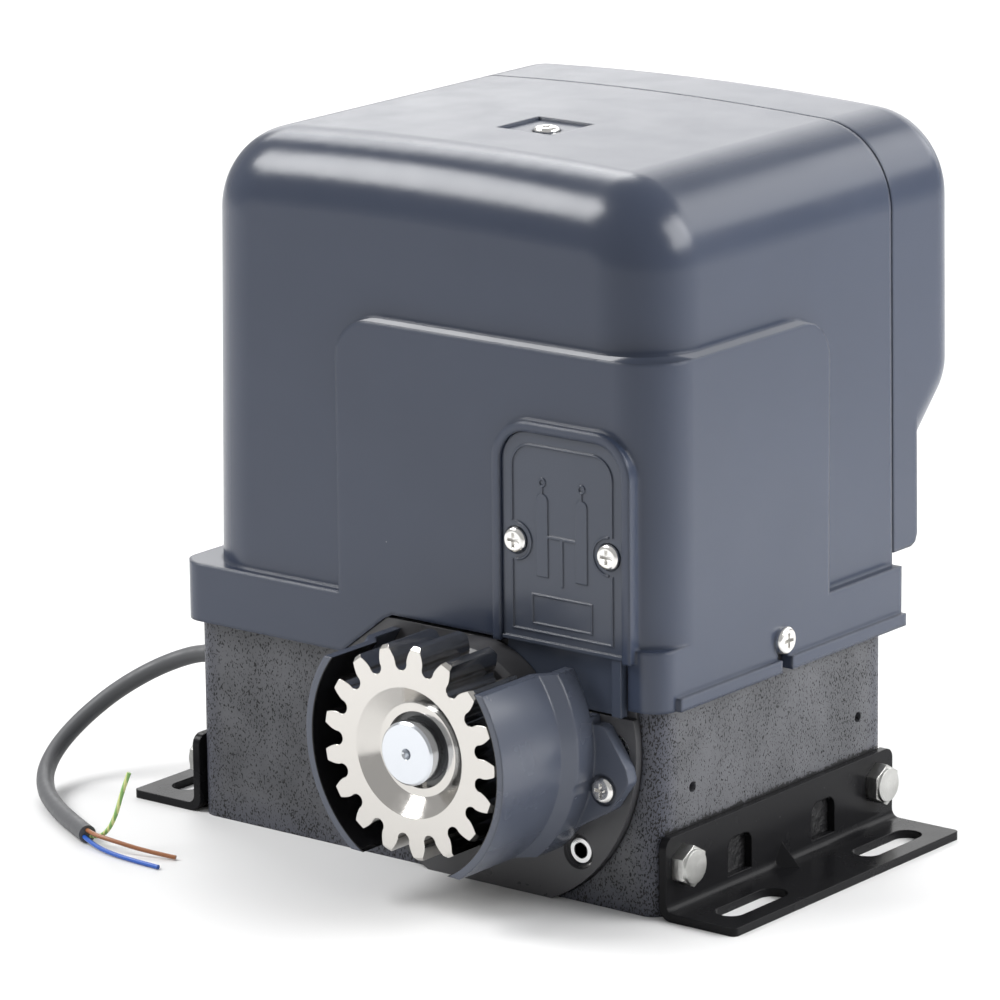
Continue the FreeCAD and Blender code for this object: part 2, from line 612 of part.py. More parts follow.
def output_shaft():
    body = turned_y([(0, SHAFT_FRONT), (SHAFT_END_R - 0.8, SHAFT_FRONT), (SHAFT_END_R, SHAFT_FRONT + 0.8),
                     (SHAFT_END_R, SHAFT_SHOULDER), (SHAFT_R, SHAFT_SHOULDER), (SHAFT_R, SHAFT_BACK - 1),
                     (SHAFT_R - 1, SHAFT_BACK), (0, SHAFT_BACK)], OUTPUT_X, OUTPUT_Z)
    body = body.cut(turned_y([(0, SHAFT_FRONT - 1), (2.4, SHAFT_FRONT - 1), (2.0, SHAFT_FRONT),
                              (0.8, SHAFT_FRONT + 2), (0.8, SHAFT_FRONT + 4), (0, SHAFT_FRONT + 4)],
                             OUTPUT_X, OUTPUT_Z))
    return body.cut(key_seat(RUNNING))


def tooth_flank(teeth, module, radius):
    """Half angle of a 20 degree involute tooth at a radius."""
    pitch = module * teeth / 2
    base = pitch * math.cos(math.radians(20))
    at_pitch = math.tan(math.radians(20)) - math.radians(20)
    pressure = math.acos(min(1.0, base / radius))
    return math.pi / (2 * teeth) + at_pitch - (math.tan(pressure) - pressure)


def pinion_blank():
    """Toothed prism of the spur pinion, with its end edges chamfered."""
    root = PITCH_R - 1.25 * MODULE
    base = PITCH_R * math.cos(math.radians(20))
    radii = [max(root, base) + (PINION_TIP_R - max(root, base)) * i / 4 for i in range(5)]
    edges = []
    pitch_angle = 2 * math.pi / PINION_TEETH

    def place(radius, angle):
        return vec(OUTPUT_X + radius * math.cos(angle), PINION_FRONT, OUTPUT_Z + radius * math.sin(angle))

    for tooth in range(PINION_TEETH):
        middle = tooth * pitch_angle
        up = [place(r, middle - tooth_flank(PINION_TEETH, MODULE, r)) for r in radii]
        down = [place(r, middle + tooth_flank(PINION_TEETH, MODULE, r)) for r in reversed(radii)]
        next_foot = place(radii[0], middle + pitch_angle - tooth_flank(PINION_TEETH, MODULE, radii[0]))
        for run in (up, down):
            flank = Part.BSplineCurve()
            flank.interpolate(run)
            edges.append(flank.toShape())
            if run is up:
                edges.append(Part.Arc(up[-1], place(PINION_TIP_R, middle), down[0]).toShape())
        gap_middle = place(root, middle + pitch_angle / 2)
        edges.append(Part.Arc(down[-1], gap_middle, next_foot).toShape())
    blank = Part.Face(Part.Wire(edges)).extrude(vec(0, PINION_WIDTH, 0))
    chamfer = 1.2
    outline = turned_y([(0, PINION_FRONT), (PINION_TIP_R - chamfer, PINION_FRONT),
                        (PINION_TIP_R + 0.5, PINION_FRONT + chamfer + 0.5),
                        (PINION_TIP_R + 0.5, PINION_BACK - chamfer - 0.5),
                        (PINION_TIP_R - chamfer, PINION_BACK), (0, PINION_BACK)], OUTPUT_X, OUTPUT_Z)
    return blank.common(outline)


def output_pinion():
    body = pinion_blank()
    dish = turned_y([(0, PINION_FRONT - 1), (DISH_R + 0.9, PINION_FRONT - 1), (DISH_R, PINION_FRONT),
                     (HUB_FACE_R, DISH_FLOOR), (0, DISH_FLOOR)], OUTPUT_X, OUTPUT_Z)
    bore = rod_y(OUTPUT_X, OUTPUT_Z, SHAFT_END_R + RUNNING, PINION_FRONT - 1, PINION_BACK + 1)
    recess = rod_y(OUTPUT_X, OUTPUT_Z, RING_R, PINION_FRONT - 1, RING_FLOOR)
    return body.cut(dish).cut(bore).cut(recess).cut(key_seat(RUNNING))


def retaining_ring():
    y1 = RING_FLOOR - RUNNING
    ring = ring_y(OUTPUT_X, OUTPUT_Z, SHAFT_END_R + RUNNING, RING_R - RUNNING, y1 - RING_WIDTH, y1)
    gap = box(OUTPUT_X - 2, OUTPUT_X + 2, y1 - 3, y1 + 1, OUTPUT_Z - RING_R - 1, OUTPUT_Z)
    return ring.cut(gap)


def annular_bearing_y(y0, width, r_in, r_out):
    """Ball bearing drawn as one race with shielded, stepped sides."""
    mid_in = r_in + (r_out - r_in) * 0.3
    mid_out = r_in + (r_out - r_in) * 0.7
    return turned_y([(r_in, y0), (mid_in, y0), (mid_in, y0 + 1), (mid_out, y0 + 1), (mid_out, y0),
                     (r_out, y0), (r_out, y0 + width), (mid_out, y0 + width), (mid_out, y0 + width - 1),
                     (mid_in, y0 + width - 1), (mid_in, y0 + width), (r_in, y0 + width)],
                    OUTPUT_X, OUTPUT_Z)


def annular_bearing_z(z0, width, r_in, r_out):
    mid_in = r_in + (r_out - r_in) * 0.3
    mid_out = r_in + (r_out - r_in) * 0.7
    return turned_z([(r_in, z0), (mid_in, z0), (mid_in, z0 + 1), (mid_out, z0 + 1), (mid_out, z0),
                     (r_out, z0), (r_out, z0 + width), (mid_out, z0 + width), (mid_out, z0 + width - 1),
                     (mid_in, z0 + width - 1), (mid_in, z0 + width), (r_in, z0 + width)], MOTOR_X, 0)


def output_bearings():
    inner = SHAFT_R + RUNNING
    return group([annular_bearing_y(BEARING_FRONT, OUTPUT_BEARING_WIDTH, inner, OUTPUT_BEARING_R),
                  annular_bearing_y(REAR_BEARING_FRONT, OUTPUT_BEARING_WIDTH, inner, OUTPUT_BEARING_R)])


def shaft_seal():
    y1 = BOSS_FRONT + SEAL_WIDTH
    return turned_y([(SHAFT_R + RUNNING, y1 - 3.5), (SHAFT_R + 2, BOSS_FRONT + 2), (SHAFT_R + 4, BOSS_FRONT + 0.5),
                     (SEAL_R, BOSS_FRONT + 0.5), (SEAL_R, y1 - RUNNING), (SHAFT_R + RUNNING, y1 - RUNNING)],
                    OUTPUT_X, OUTPUT_Z)


# ---- worm wheel and worm ----------------------------------------------------------------
def wheel_wire(y, twist):
    """Outline of the worm wheel's teeth at one height of the face, turned by a small angle."""
    root = WHEEL_PITCH_R - 1.25 * WHEEL_MODULE
    step = 2 * math.pi / WHEEL_TEETH
    half = (math.pi * WHEEL_MODULE / 2 - MESH_BACKLASH) / 2
    slope = math.tan(math.radians(20))
    points = []
    for tooth in range(WHEEL_TEETH):
        middle = math.pi + tooth * step - twist
        for radius, sign in ((root, -1), (WHEEL_TIP_R, -1), (WHEEL_TIP_R, 1), (root, 1)):
            width = half - (radius - WHEEL_PITCH_R) * slope
            a = middle + sign * width / radius
            points.append(vec(OUTPUT_X + radius * math.cos(a), y, OUTPUT_Z + radius * math.sin(a)))
    return Part.makePolygon(points + [points[0]])


def worm_wheel():
    half_width = WHEEL_WIDTH / 2
    twist = half_width * WORM_LEAD / (2 * math.pi * WORM_PITCH_R) / WHEEL_PITCH_R
    rim = Part.makeLoft([wheel_wire(-half_width, -twist), wheel_wire(half_width, twist)], True, True)
    hub = rod_y(OUTPUT_X, OUTPUT_Z, WHEEL_HUB_R, -WHEEL_HUB_WIDTH / 2, WHEEL_HUB_WIDTH / 2)
    body = fuse([rim, hub])
    body = body.cut(rod_y(OUTPUT_X, OUTPUT_Z, SHAFT_R + RUNNING, -WHEEL_HUB_WIDTH, WHEEL_HUB_WIDTH))
    for i in range(4):
        slot = box(OUTPUT_X + SHAFT_R + 3, OUTPUT_X + WHEEL_HUB_R + 1, WHEEL_HUB_FRONT - 1,
                   WHEEL_HUB_FRONT + LUG_LENGTH, OUTPUT_Z - LUG_WIDTH / 2 - 0.5,
                   OUTPUT_Z + LUG_WIDTH / 2 + 0.5)
        slot.rotate(vec(OUTPUT_X, 0, OUTPUT_Z), vec(0, 1, 0), 90 * i)
        body = body.cut(slot)
    return body


def worm_shaft():
    """Motor shaft with the single-start right-handed worm cut on its lower end."""
    zone = WORM_LEAD * (WORM_TURNS + 1) / 2 + 2
    bottom = BASE_FLOOR + 1
    core = turned_z([(0, bottom), (6, bottom), (6, bottom + 11), (WORM_ROOT_R, OUTPUT_Z - zone - 3),
                     (WORM_ROOT_R, OUTPUT_Z + zone + 3), (MOTOR_SHAFT_R, OUTPUT_Z + zone + 6),
                     (MOTOR_SHAFT_R, BELL_TOP - 3), (0, BELL_TOP - 3)], MOTOR_X, 0)
    turns = WORM_TURNS
    start = OUTPUT_Z - turns * WORM_LEAD / 2
    helix = Part.makeHelix(WORM_LEAD, turns * WORM_LEAD, WORM_PITCH_R)
    half = (math.pi * WHEEL_MODULE / 2 - MESH_BACKLASH) / 2
    slope = math.tan(math.radians(20))
    inner = WORM_ROOT_R - 0.4
    low = half + (WORM_PITCH_R - inner) * slope
    high = half - (WORM_TIP_R - WORM_PITCH_R) * slope
    profile = Part.makePolygon([vec(inner, 0, -low), vec(WORM_TIP_R, 0, -high), vec(WORM_TIP_R, 0, high),
                                vec(inner, 0, low), vec(inner, 0, -low)])
    thread = Part.Wire(helix).makePipeShell([profile], True, True)
    thread.translate(vec(MOTOR_X, 0, start))
    return core.fuse(thread)


def rotor_core():
    z0 = STATOR_BOTTOM - 4
    z1 = STATOR_TOP + 4
    body = turned_z([(MOTOR_SHAFT_R + RUNNING, STATOR_BOTTOM), (ROTOR_R - 7, STATOR_BOTTOM), (ROTOR_R - 7, z0),
                     (ROTOR_R - 1, z0), (ROTOR_R, STATOR_BOTTOM), (ROTOR_R, STATOR_TOP), (ROTOR_R - 1, z1),
                     (ROTOR_R - 7, z1), (ROTOR_R - 7, STATOR_TOP), (MOTOR_SHAFT_R + RUNNING, STATOR_TOP)],
                    MOTOR_X, 0)
    fins = []
    for i in range(6):
        fin = box(MOTOR_X + ROTOR_R - 7, MOTOR_X + ROTOR_R - 1.5, -1, 1, z1 - 1, z1 + 4)
        fin.rotate(vec(MOTOR_X, 0, 0), vec(0, 0, 1), 60 * i)
        fins.append(fin)
    return fuse([body] + fins)


# ---- gearcase cover and motor --------------------------------------------------------------
def cover_outline(z0, z1, inset):
    return rounded_box(GEARCASE_LEFT - BULKHEAD + inset, GEARCASE_RIGHT + 2 * BULKHEAD - inset,
                       CAVITY_FRONT - BULKHEAD * 1.5 + inset, CAVITY_BACK + BULKHEAD * 1.5 - inset,
                       z0, z1, BASE_CORNER)


def cover_cavity(z0, z1):
    return rounded_box(GEARCASE_LEFT + 1, GEARCASE_RIGHT - 1, CAVITY_FRONT + 1, CAVITY_BACK - 1,
                       z0, z1, BASE_CORNER)


def gearcase_gasket():
    body = cover_outline(BASE_HEIGHT, COVER_BOTTOM, 0.5).cut(cover_cavity(BASE_HEIGHT - 1, COVER_BOTTOM + 1))
    holes = [rod_z(x, y, SCREW_R + SEAT, BASE_HEIGHT - 1, COVER_BOTTOM + 1) for x, y in cover_screw_places()]
    return body.cut(Part.makeCompound(holes))


def gearcase_cover():
    body = cover_outline(COVER_BOTTOM, COVER_TOP, 0)
    body = body.cut(cover_cavity(COVER_BOTTOM - 1, COVER_TOP - 7))
    boss = rod_z(MOTOR_X, 0, MOTOR_BEARING_R + 4, COVER_TOP - 14, COVER_TOP - 6)
    body = fuse([body, boss])
    tools = [rod_z(MOTOR_X, 0, MOTOR_BEARING_R + FIT, COVER_TOP - MOTOR_BEARING_WIDTH, COVER_TOP + 1),
             rod_z(MOTOR_X, 0, MOTOR_SHAFT_R + 2, COVER_TOP - 15, COVER_TOP)]
    for x, y in cover_screw_places():
        tools.append(rod_z(x, y, SCREW_R + SEAT, COVER_BOTTOM - 1, COVER_TOP + 1))
    for x, y in tie_bolt_places():
        tools.append(rod_z(x, y, TIE_BOLT_R + FIT, COVER_TOP - 5, COVER_TOP + 1))
    return body.cut(Part.makeCompound(tools))


def tie_bolt_places():
    places = []
    for i in range(4):
        a = math.radians(45 + 90 * i)
        places.append((MOTOR_X + TIE_BOLT_CIRCLE * math.cos(a), TIE_BOLT_CIRCLE * math.sin(a)))
    return places


def gearcase_cover_screws():
    return group([pan_screw(vec(x, y, COVER_TOP), (0, 0, 1), SCREW_HEAD_R, COVER_HEIGHT + 8, SCREW_R)
                  for x, y in cover_screw_places()])


def tie_bolt_holes(z0, z1):
    return [rod_z(x, y, TIE_BOLT_R + FIT, z0, z1) for x, y in tie_bolt_places()]


def motor_lower_bell():
    body = turned_z([(MOTOR_SHAFT_R + 3, COVER_TOP), (STATOR_R, COVER_TOP), (STATOR_R, STATOR_BOTTOM),
                     (STATOR_R - 9, STATOR_BOTTOM), (STATOR_R - 9, COVER_TOP + BELL_WALL),
                     (MOTOR_SHAFT_R + 3, COVER_TOP + BELL_WALL)], MOTOR_X, 0)
    return body.cut(Part.makeCompound(tie_bolt_holes(COVER_TOP - 1, STATOR_BOTTOM + 1)))


def motor_stator():
    body = ring_z(MOTOR_X, 0, ROTOR_R + AIR_GAP, STATOR_R, STATOR_BOTTOM, STATOR_TOP)
    slots = []
    for i in range(12):
        slot = box(MOTOR_X + ROTOR_R + AIR_GAP - 1, MOTOR_X + ROTOR_R + AIR_GAP + 10, -1.5, 1.5,
                   STATOR_BOTTOM - 1, STATOR_TOP + 1)
        slot.rotate(vec(MOTOR_X, 0, 0), vec(0, 0, 1), 30 * i)
        slots.append(slot)
    return body.cut(Part.makeCompound(slots + tie_bolt_holes(STATOR_BOTTOM - 1, STATOR_TOP + 1)))


def motor_windings():
    inner = ROTOR_R + AIR_GAP + 1.5
    outer = STATOR_R - 9 - SEAT
    rings = []
    for z0, z1 in ((STATOR_BOTTOM - 11, STATOR_BOTTOM), (STATOR_TOP, STATOR_TOP + 11)):
        low, high = (z0 + 2, z1) if z1 == STATOR_BOTTOM else (z0, z1 - 2)
        rings.append(turned_z([(inner + 2, z0), (outer - 2, z0), (outer, low), (outer, high), (outer - 2, z1),
                               (inner + 2, z1), (inner, high), (inner, low)], MOTOR_X, 0))
    return group(rings)


def motor_upper_bell():
    body = turned_z([(MOTOR_SHAFT_R + 1, BELL_TOP), (STATOR_R - 6, BELL_TOP), (STATOR_R, BELL_TOP - 6),
                     (STATOR_R, STATOR_TOP), (STATOR_R - 9, STATOR_TOP), (STATOR_R - 9, BELL_TOP - BELL_WALL),
                     (MOTOR_BEARING_R + 3, BELL_TOP - BELL_WALL),
                     (MOTOR_BEARING_R + 3, BELL_TOP - MOTOR_BEARING_WIDTH - 1),
                     (MOTOR_BEARING_R + RUNNING, BELL_TOP - MOTOR_BEARING_WIDTH - 1),
                     (MOTOR_BEARING_R + RUNNING, BELL_TOP - 1.5), (MOTOR_SHAFT_R + 1, BELL_TOP - 1.5)],
                    MOTOR_X, 0)
    holes = tie_bolt_holes(STATOR_TOP - 1, BELL_TOP + 1)
    post = rod_z(POCKET_SCREW_X, POCKET_SCREW_Y, SCREW_R, BELL_TOP - 3, BELL_TOP + 1)
    return body.cut(Part.makeCompound(holes + [post]))


def motor_tie_bolts():
    bolts = []
    for x, y in tie_bolt_places():
        head = hexagon(vec(x, y, BELL_TOP), (0, 0, 1), 7, 3)
        shank = rod_z(x, y, TIE_BOLT_R, COVER_TOP - 4.5, BELL_TOP)
        bolts.append(head.fuse(shank).removeSplitter())
    return group(bolts)


def motor_bearings():
    low = annular_bearing_z(BASE_FLOOR + FIT, 10, 6 + RUNNING, WORM_BEARING_R)
    middle = annular_bearing_z(COVER_TOP - MOTOR_BEARING_WIDTH, MOTOR_BEARING_WIDTH - FIT,
                               MOTOR_SHAFT_R + RUNNING, MOTOR_BEARING_R)
    top = annular_bearing_z(BELL_TOP - MOTOR_BEARING_WIDTH - 1, MOTOR_BEARING_WIDTH - 0.6,
                            MOTOR_SHAFT_R + RUNNING, MOTOR_BEARING_R)
    return group([low, middle, top])


def hood_post():
    top = HOOD_INNER_TOP - POCKET_DEPTH
    body = hexagon(vec(POCKET_SCREW_X, POCKET_SCREW_Y, BELL_TOP), (0, 0, 1), 10, top - BELL_TOP)
    body = body.fuse(rod_z(POCKET_SCREW_X, POCKET_SCREW_Y, SCREW_R - RUNNING, BELL_TOP - 2.8, BELL_TOP))
    return body.cut(rod_z(POCKET_SCREW_X, POCKET_SCREW_Y, SCREW_R + FIT, top - 12, top + 1))


# ---- hood -----------------------------------------------------------------------------------
def hood_section(inset, y0, y1):
    """Front view of the hood as a prism: drafted sides, round shoulders and a slightly crowned top."""
    lean = HOOD_DRAFT / (HOOD_TOP - HOOD_BOTTOM)
    slant = math.sqrt(1 + lean ** 2)
    shoulder = HOOD_SHOULDER - inset
    crown = HOOD_CROWN_R - inset
    crown_z = HOOD_TOP - HOOD_CROWN_R
    reach = crown - shoulder
    # the shoulder's centre keeps its radius from the side and from the crown
    start = HALF_LENGTH - inset - shoulder * slant + (HOOD_BOTTOM - crown_z) * lean
    height = (start * lean + math.sqrt(reach ** 2 * slant ** 2 - start ** 2)) / slant ** 2
    x = start - height * lean
    z = crown_z + height
    low = (HALF_LENGTH - inset + lean, HOOD_BOTTOM - 1)
    side = (x + shoulder / slant, z + shoulder * lean / slant)
    top = (x * crown / reach, crown_z + height * crown / reach)
    toward = math.radians(45)
    corner = (x + shoulder * math.cos(toward), z + shoulder * math.sin(toward))

    def at(point, sign=1):
        return vec(sign * point[0], y0, point[1])

    edges = [Part.LineSegment(at(low, -1), at(low)).toShape(),
             Part.LineSegment(at(low), at(side)).toShape(),
             Part.Arc(at(side), at(corner), at(top)).toShape(),
             Part.Arc(at(top), vec(0, y0, HOOD_TOP - inset), at(top, -1)).toShape(),
             Part.Arc(at(top, -1), at(corner, -1), at(side, -1)).toShape(),
             Part.LineSegment(at(side, -1), at(low, -1)).toShape()]
    return Part.Face(Part.Wire(edges)).extrude(vec(0, y1 - y0, 0))


def front_form(inset, bottom):
    """Front hood without its panel: the front wall leans back and its rim is rounded."""
    section = hood_section(inset, FRONT - 10, SEAM_Y + 10)
    y0 = FRONT + inset
    lean = HOOD_DRAFT / (HOOD_TOP - HOOD_BOTTOM)
    rise = HOOD_TOP + 10 - bottom
    side = polygon([vec(-200, y0, bottom), vec(-200, y0 + rise * lean, bottom + rise),
                    vec(-200, SEAM_Y + 5, bottom + rise), vec(-200, SEAM_Y + 5, bottom)], vec(400, 0, 0))
    body = section.common(side)
    rim = [edge for edge in body.Edges if edge.BoundBox.YMax < y0 + HOOD_DRAFT + 2
           and edge.BoundBox.ZMax > bottom + 1]
    return body.makeFillet(HOOD_FRONT_EDGE - inset, rim)


def rear_form(inset):
    """Rear hood as a solid: it steps in at 45 degrees above its foot, and its rim is rounded."""
    section = hood_section(inset, SEAM_Y - 10, REAR_REACH + 10)
    reach = REAR_REACH - inset
    low = REAR_LOWER_REACH - inset
    foot = REAR_BOTTOM + inset
    heel = REAR_FOOT_ROUND - inset
    slope_top = REAR_STEP_Z + inset * (math.sqrt(2) - 1) + reach - low
    bend = (REAR_STEP_BEND - inset) * math.tan(math.radians(22.5))
    first = vec(-200, reach - bend * math.sqrt(0.5), slope_top - bend * math.sqrt(0.5))
    last = vec(-200, reach, slope_top + bend)
    centre = vec(-200, reach - REAR_STEP_BEND + inset, slope_top + bend)
    toward = math.radians(22.5)
    middle = centre + vec(0, math.cos(toward), -math.sin(toward)) * (REAR_STEP_BEND - inset)
    corners = [last, vec(-200, reach, HOOD_TOP + 10), vec(-200, SEAM_Y - 5, HOOD_TOP + 10),
               vec(-200, SEAM_Y - 5, foot), vec(-200, low - heel, foot),
               vec(-200, low - heel * 0.3, foot + heel * 0.3), vec(-200, low, foot + heel),
               vec(-200, low, REAR_STEP_Z + inset * (math.sqrt(2) - 1)), first]
    edges = [Part.LineSegment(a, b).toShape() for a, b in zip(corners, corners[1:])]
    edges.append(Part.Arc(first, middle, last).toShape())
    side = Part.Face(Part.Wire(edges)).extrude(vec(400, 0, 0))
    body = section.common(side)
    rim = [edge for edge in body.Edges if edge.BoundBox.YMax > reach - 0.01
           and abs(edge.BoundBox.Center.x) + edge.BoundBox.XLength > 1
           and edge.BoundBox.ZMax > slope_top + bend + 1]
    return body.makeFillet(HOOD_REAR_EDGE - inset, rim)


def skirt_prism(inset, z0, z1):
    return rounded_box(-SKIRT_X + inset, SKIRT_X - inset, -SKIRT_Y + inset, SKIRT_Y + 30,
                       z0, z1, SKIRT_CORNER - inset * 0.6)


def panel_prism(inset, z1):
    """Raised panel: flush with the skirt on the front and the right side, up to its own top edge."""
    block = rounded_box(-SKIRT_X, SKIRT_X - inset, -SKIRT_Y + inset, SKIRT_Y, SKIRT_TOP - 3, z1,
                        PANEL_CORNER_R - inset)
    front = arch(PANEL_LEFT + inset, SKIRT_X + 40, SKIRT_TOP - 4, z1, PANEL_CORNER, -SKIRT_Y - 1, -20)
    side = arch(-SKIRT_X, PANEL_BACK - inset, SKIRT_TOP - 4, z1, PANEL_CORNER, -SKIRT_X - 1, -60)
    side.rotate(vec(0, 0, 0), vec(0, 0, 1), 90)
    return block.common(front.fuse(side))


def gear_notch(inset):
    """Notch of the skirt for the output flange: it slopes up from the skirt's lower edge."""
    left = GEAR_NOTCH_LEFT + inset
    shoulder = GEAR_NOTCH_SHOULDER + inset
    right = FRAME_LEFT + FRAME_BAR + 1
    outline = [(left, SKIRT_BOTTOM - 5), (left, SKIRT_BOTTOM + 1), (shoulder, GEAR_NOTCH_TOP - 2),
               (shoulder + 4, GEAR_NOTCH_TOP), (right, GEAR_NOTCH_TOP), (right, SKIRT_BOTTOM - 5)]
    return polygon([vec(x, FRAME_FRONT - 1, z) for x, z in outline], vec(0, FRONT - FRAME_FRONT + 1, 0))


def front_hood():
    front_zone = box(-200, 200, -200, SEAM_Y - SEAM_GAP, 0, 300)
    outer = front_form(0, HOOD_BOTTOM).common(front_zone)
    skirt = skirt_prism(0, SKIRT_BOTTOM, SKIRT_TOP).common(front_zone)
    back_wall = fuse([box(1 - SKIRT_X, SKIRT_X - 1, HALF_DEPTH + SEAT, SEAM_Y - SEAM_GAP, SKIRT_BOTTOM, SKIRT_TOP),
                      box(1 - HALF_LENGTH, HALF_LENGTH - 1, HALF_DEPTH + SEAT, SEAM_Y - SEAM_GAP,
                          SKIRT_BOTTOM, REAR_BOTTOM + HOOD_WALL)])
    shell = fuse([outer, skirt, panel_prism(0, PANEL_TOP)])
    hollow = fuse([front_form(HOOD_WALL, HOOD_BOTTOM - 1),
                   skirt_prism(HOOD_WALL, SKIRT_BOTTOM - 1, HOOD_BOTTOM)])
    pocket_block = box(POCKET_X - POCKET_SIZE / 2 - 3, POCKET_X + POCKET_SIZE / 2 + 3,
                       POCKET_Y - POCKET_SIZE / 2 - 3, POCKET_Y + POCKET_SIZE / 2 + 3,
                       HOOD_INNER_TOP - POCKET_DEPTH, HOOD_TOP)
    shell = shell.cut(hollow.cut(pocket_block))
    frame = arch(FRAME_LEFT, FRAME_RIGHT, GEAR_NOTCH_TOP, FRAME_TOP, FRAME_RADIUS,
                 FRAME_FRONT, -SKIRT_Y + HOOD_WALL)
    bead = skirt_prism(-BEAD, SKIRT_BOTTOM, SKIRT_BOTTOM + BEAD_HEIGHT).cut(
        skirt_prism(HOOD_WALL, SKIRT_BOTTOM - 1, SKIRT_TOP))
    bead = bead.common(box(-200, 200, -SKIRT_Y + SKIRT_CORNER, SEAM_Y - SEAM_GAP, 0, 300))
    shell = fuse([shell, frame, bead, back_wall])
    window = arch(FRAME_LEFT + FRAME_BAR, FRAME_RIGHT - FRAME_BAR, SKIRT_BOTTOM - 5,
                  FRAME_TOP - FRAME_BAR, FRAME_RADIUS - FRAME_BAR, FRAME_FRONT - 1, -HALF_DEPTH + 12)
    tools = [window, gear_notch(0),
             box(POCKET_X - POCKET_SIZE / 2, POCKET_X + POCKET_SIZE / 2, POCKET_Y - POCKET_SIZE / 2,
                 POCKET_Y + POCKET_SIZE / 2, HOOD_TOP - POCKET_DEPTH, HOOD_TOP + 1),
             rod_z(POCKET_SCREW_X, POCKET_SCREW_Y, SCREW_R + SEAT, HOOD_INNER_TOP - 5, HOOD_TOP)]
    for side in (-1, 1):
        x0 = min(side * (HALF_LENGTH - 1), side * (SKIRT_X + 5))
        x1 = max(side * (HALF_LENGTH - 1), side * (SKIRT_X + 5))
        tools.append(rod_x(HOOD_SCREW_Y, HOOD_SCREW_Z, SKIRT_NOTCH_WIDTH / 2, x0, x1))
        tools.append(box(x0, x1, HOOD_SCREW_Y - SKIRT_NOTCH_WIDTH / 2, HOOD_SCREW_Y + SKIRT_NOTCH_WIDTH / 2,
                         SKIRT_BOTTOM - 1, HOOD_SCREW_Z))
    return shell.cut(Part.makeCompound(tools))


def rear_hood():
    rear_zone = box(-200, 200, SEAM_Y, 200, 0, 300)
    return rear_form(0).common(rear_zone).cut(rear_form(HOOD_WALL))


def hood_side_screws():
    right = pan_screw(vec(SKIRT_X, HOOD_SCREW_Y, HOOD_SCREW_Z), (1, 0, 0), SCREW_HEAD_R + 0.4,
                      SKIRT_PROUD + 9, SCREW_R)
    left = pan_screw(vec(-SKIRT_X, HOOD_SCREW_Y, HOOD_SCREW_Z), (-1, 0, 0), SCREW_HEAD_R + 0.4,
                     SKIRT_PROUD + BASE_WALL - 1, SCREW_R)
    return group([right, left])


def hood_top_screw():
    return pan_screw(vec(POCKET_SCREW_X, POCKET_SCREW_Y, HOOD_TOP - POCKET_DEPTH), (0, 0, 1),
                     SCREW_HEAD_R, HOOD_WALL + 8, SCREW_R)


# ---- limit housing and cover --------------------------------------------------------------------
def limit_screw_places():
    return [(PLATE_LEFT + LIMIT_SCREW_INSET, LIMIT_SCREW_Z), (PLATE_RIGHT - LIMIT_SCREW_INSET, LIMIT_SCREW_Z)]


def limit_housing():
    """Moulded box behind the cover, with the apron that closes the skirt's notch below it."""
    y0 = PLATE_BACK + RUNNING
    y1 = y0 + LIMIT_BOX_DEPTH
    radius = FRAME_RADIUS - FRAME_BAR - 2 * SEAT
    body = arch(PLATE_LEFT + SEAT, PLATE_RIGHT - SEAT, BASE_HEIGHT + SEAT, PLATE_TOP - SEAT, radius, y0, y1)
    cavity = arch(PLATE_LEFT + SEAT + LIMIT_WALL, PLATE_RIGHT - SEAT - LIMIT_WALL, LIMIT_BOTTOM + LIMIT_WALL,
                  PLATE_TOP - SEAT - LIMIT_WALL, radius - LIMIT_WALL, y0 - 1, y1 - LIMIT_WALL)
    body = body.cut(cavity)
    ends = [rod_y(x, z, 4.5, y0, y1 - 1) for x, z in limit_screw_places()]
    apron = box(PLATE_LEFT, PLATE_RIGHT - 2, y0, -SKIRT_Y + HOOD_WALL, LIMIT_APRON_BOTTOM, LIMIT_BOTTOM)
    rib = box(PLATE_RIGHT - 5, PLATE_RIGHT - 1, PLATE_FRONT, y0 + 1, LIMIT_APRON_BOTTOM, LIMIT_BOTTOM - SEAT)
    body = fuse([body, apron, rib] + ends)
    holes = [rod_y(x, z, SCREW_R + FIT, y0 - 1, y1 - 3) for x, z in limit_screw_places()]
    return body.cut(Part.makeCompound(holes))


def limit_diagram():
    """Relief of two gate stops with a cross between them, above a bare label frame."""
    y0 = PLATE_FRONT - RELIEF
    y1 = PLATE_FRONT + 0.5
    x0 = PLATE_LEFT
    z0 = LIMIT_BOTTOM
    marks = []
    for x in (17.2, 33.9):
        marks.append(arch(x0 + x - 2.45, x0 + x + 2.45, z0 + 24, z0 + 53, 2.3, y0, y1))
        marks.append(box(x0 + x - 0.35, x0 + x + 0.35, y0, y1, z0 + 52.5, z0 + 55.8))
        marks.append(ring_y(x0 + x, z0 + 57, 0.9, 1.6, y0, y1))
    marks.append(box(x0 + 17.2, x0 + 33.9, y0, y1, z0 + 37.8, z0 + 38.8))
    marks.append(box(x0 + 25.05, x0 + 26.05, y0, y1, z0 + 21.5, z0 + 38.2))
    label = box(x0 + 12.5, x0 + 38.4, y0, y1, z0 + 6.9, z0 + 17.6)
    marks.append(label.cut(box(x0 + 13.1, x0 + 37.8, y0 - 1, y1 + 1, z0 + 7.5, z0 + 17)))
    return marks


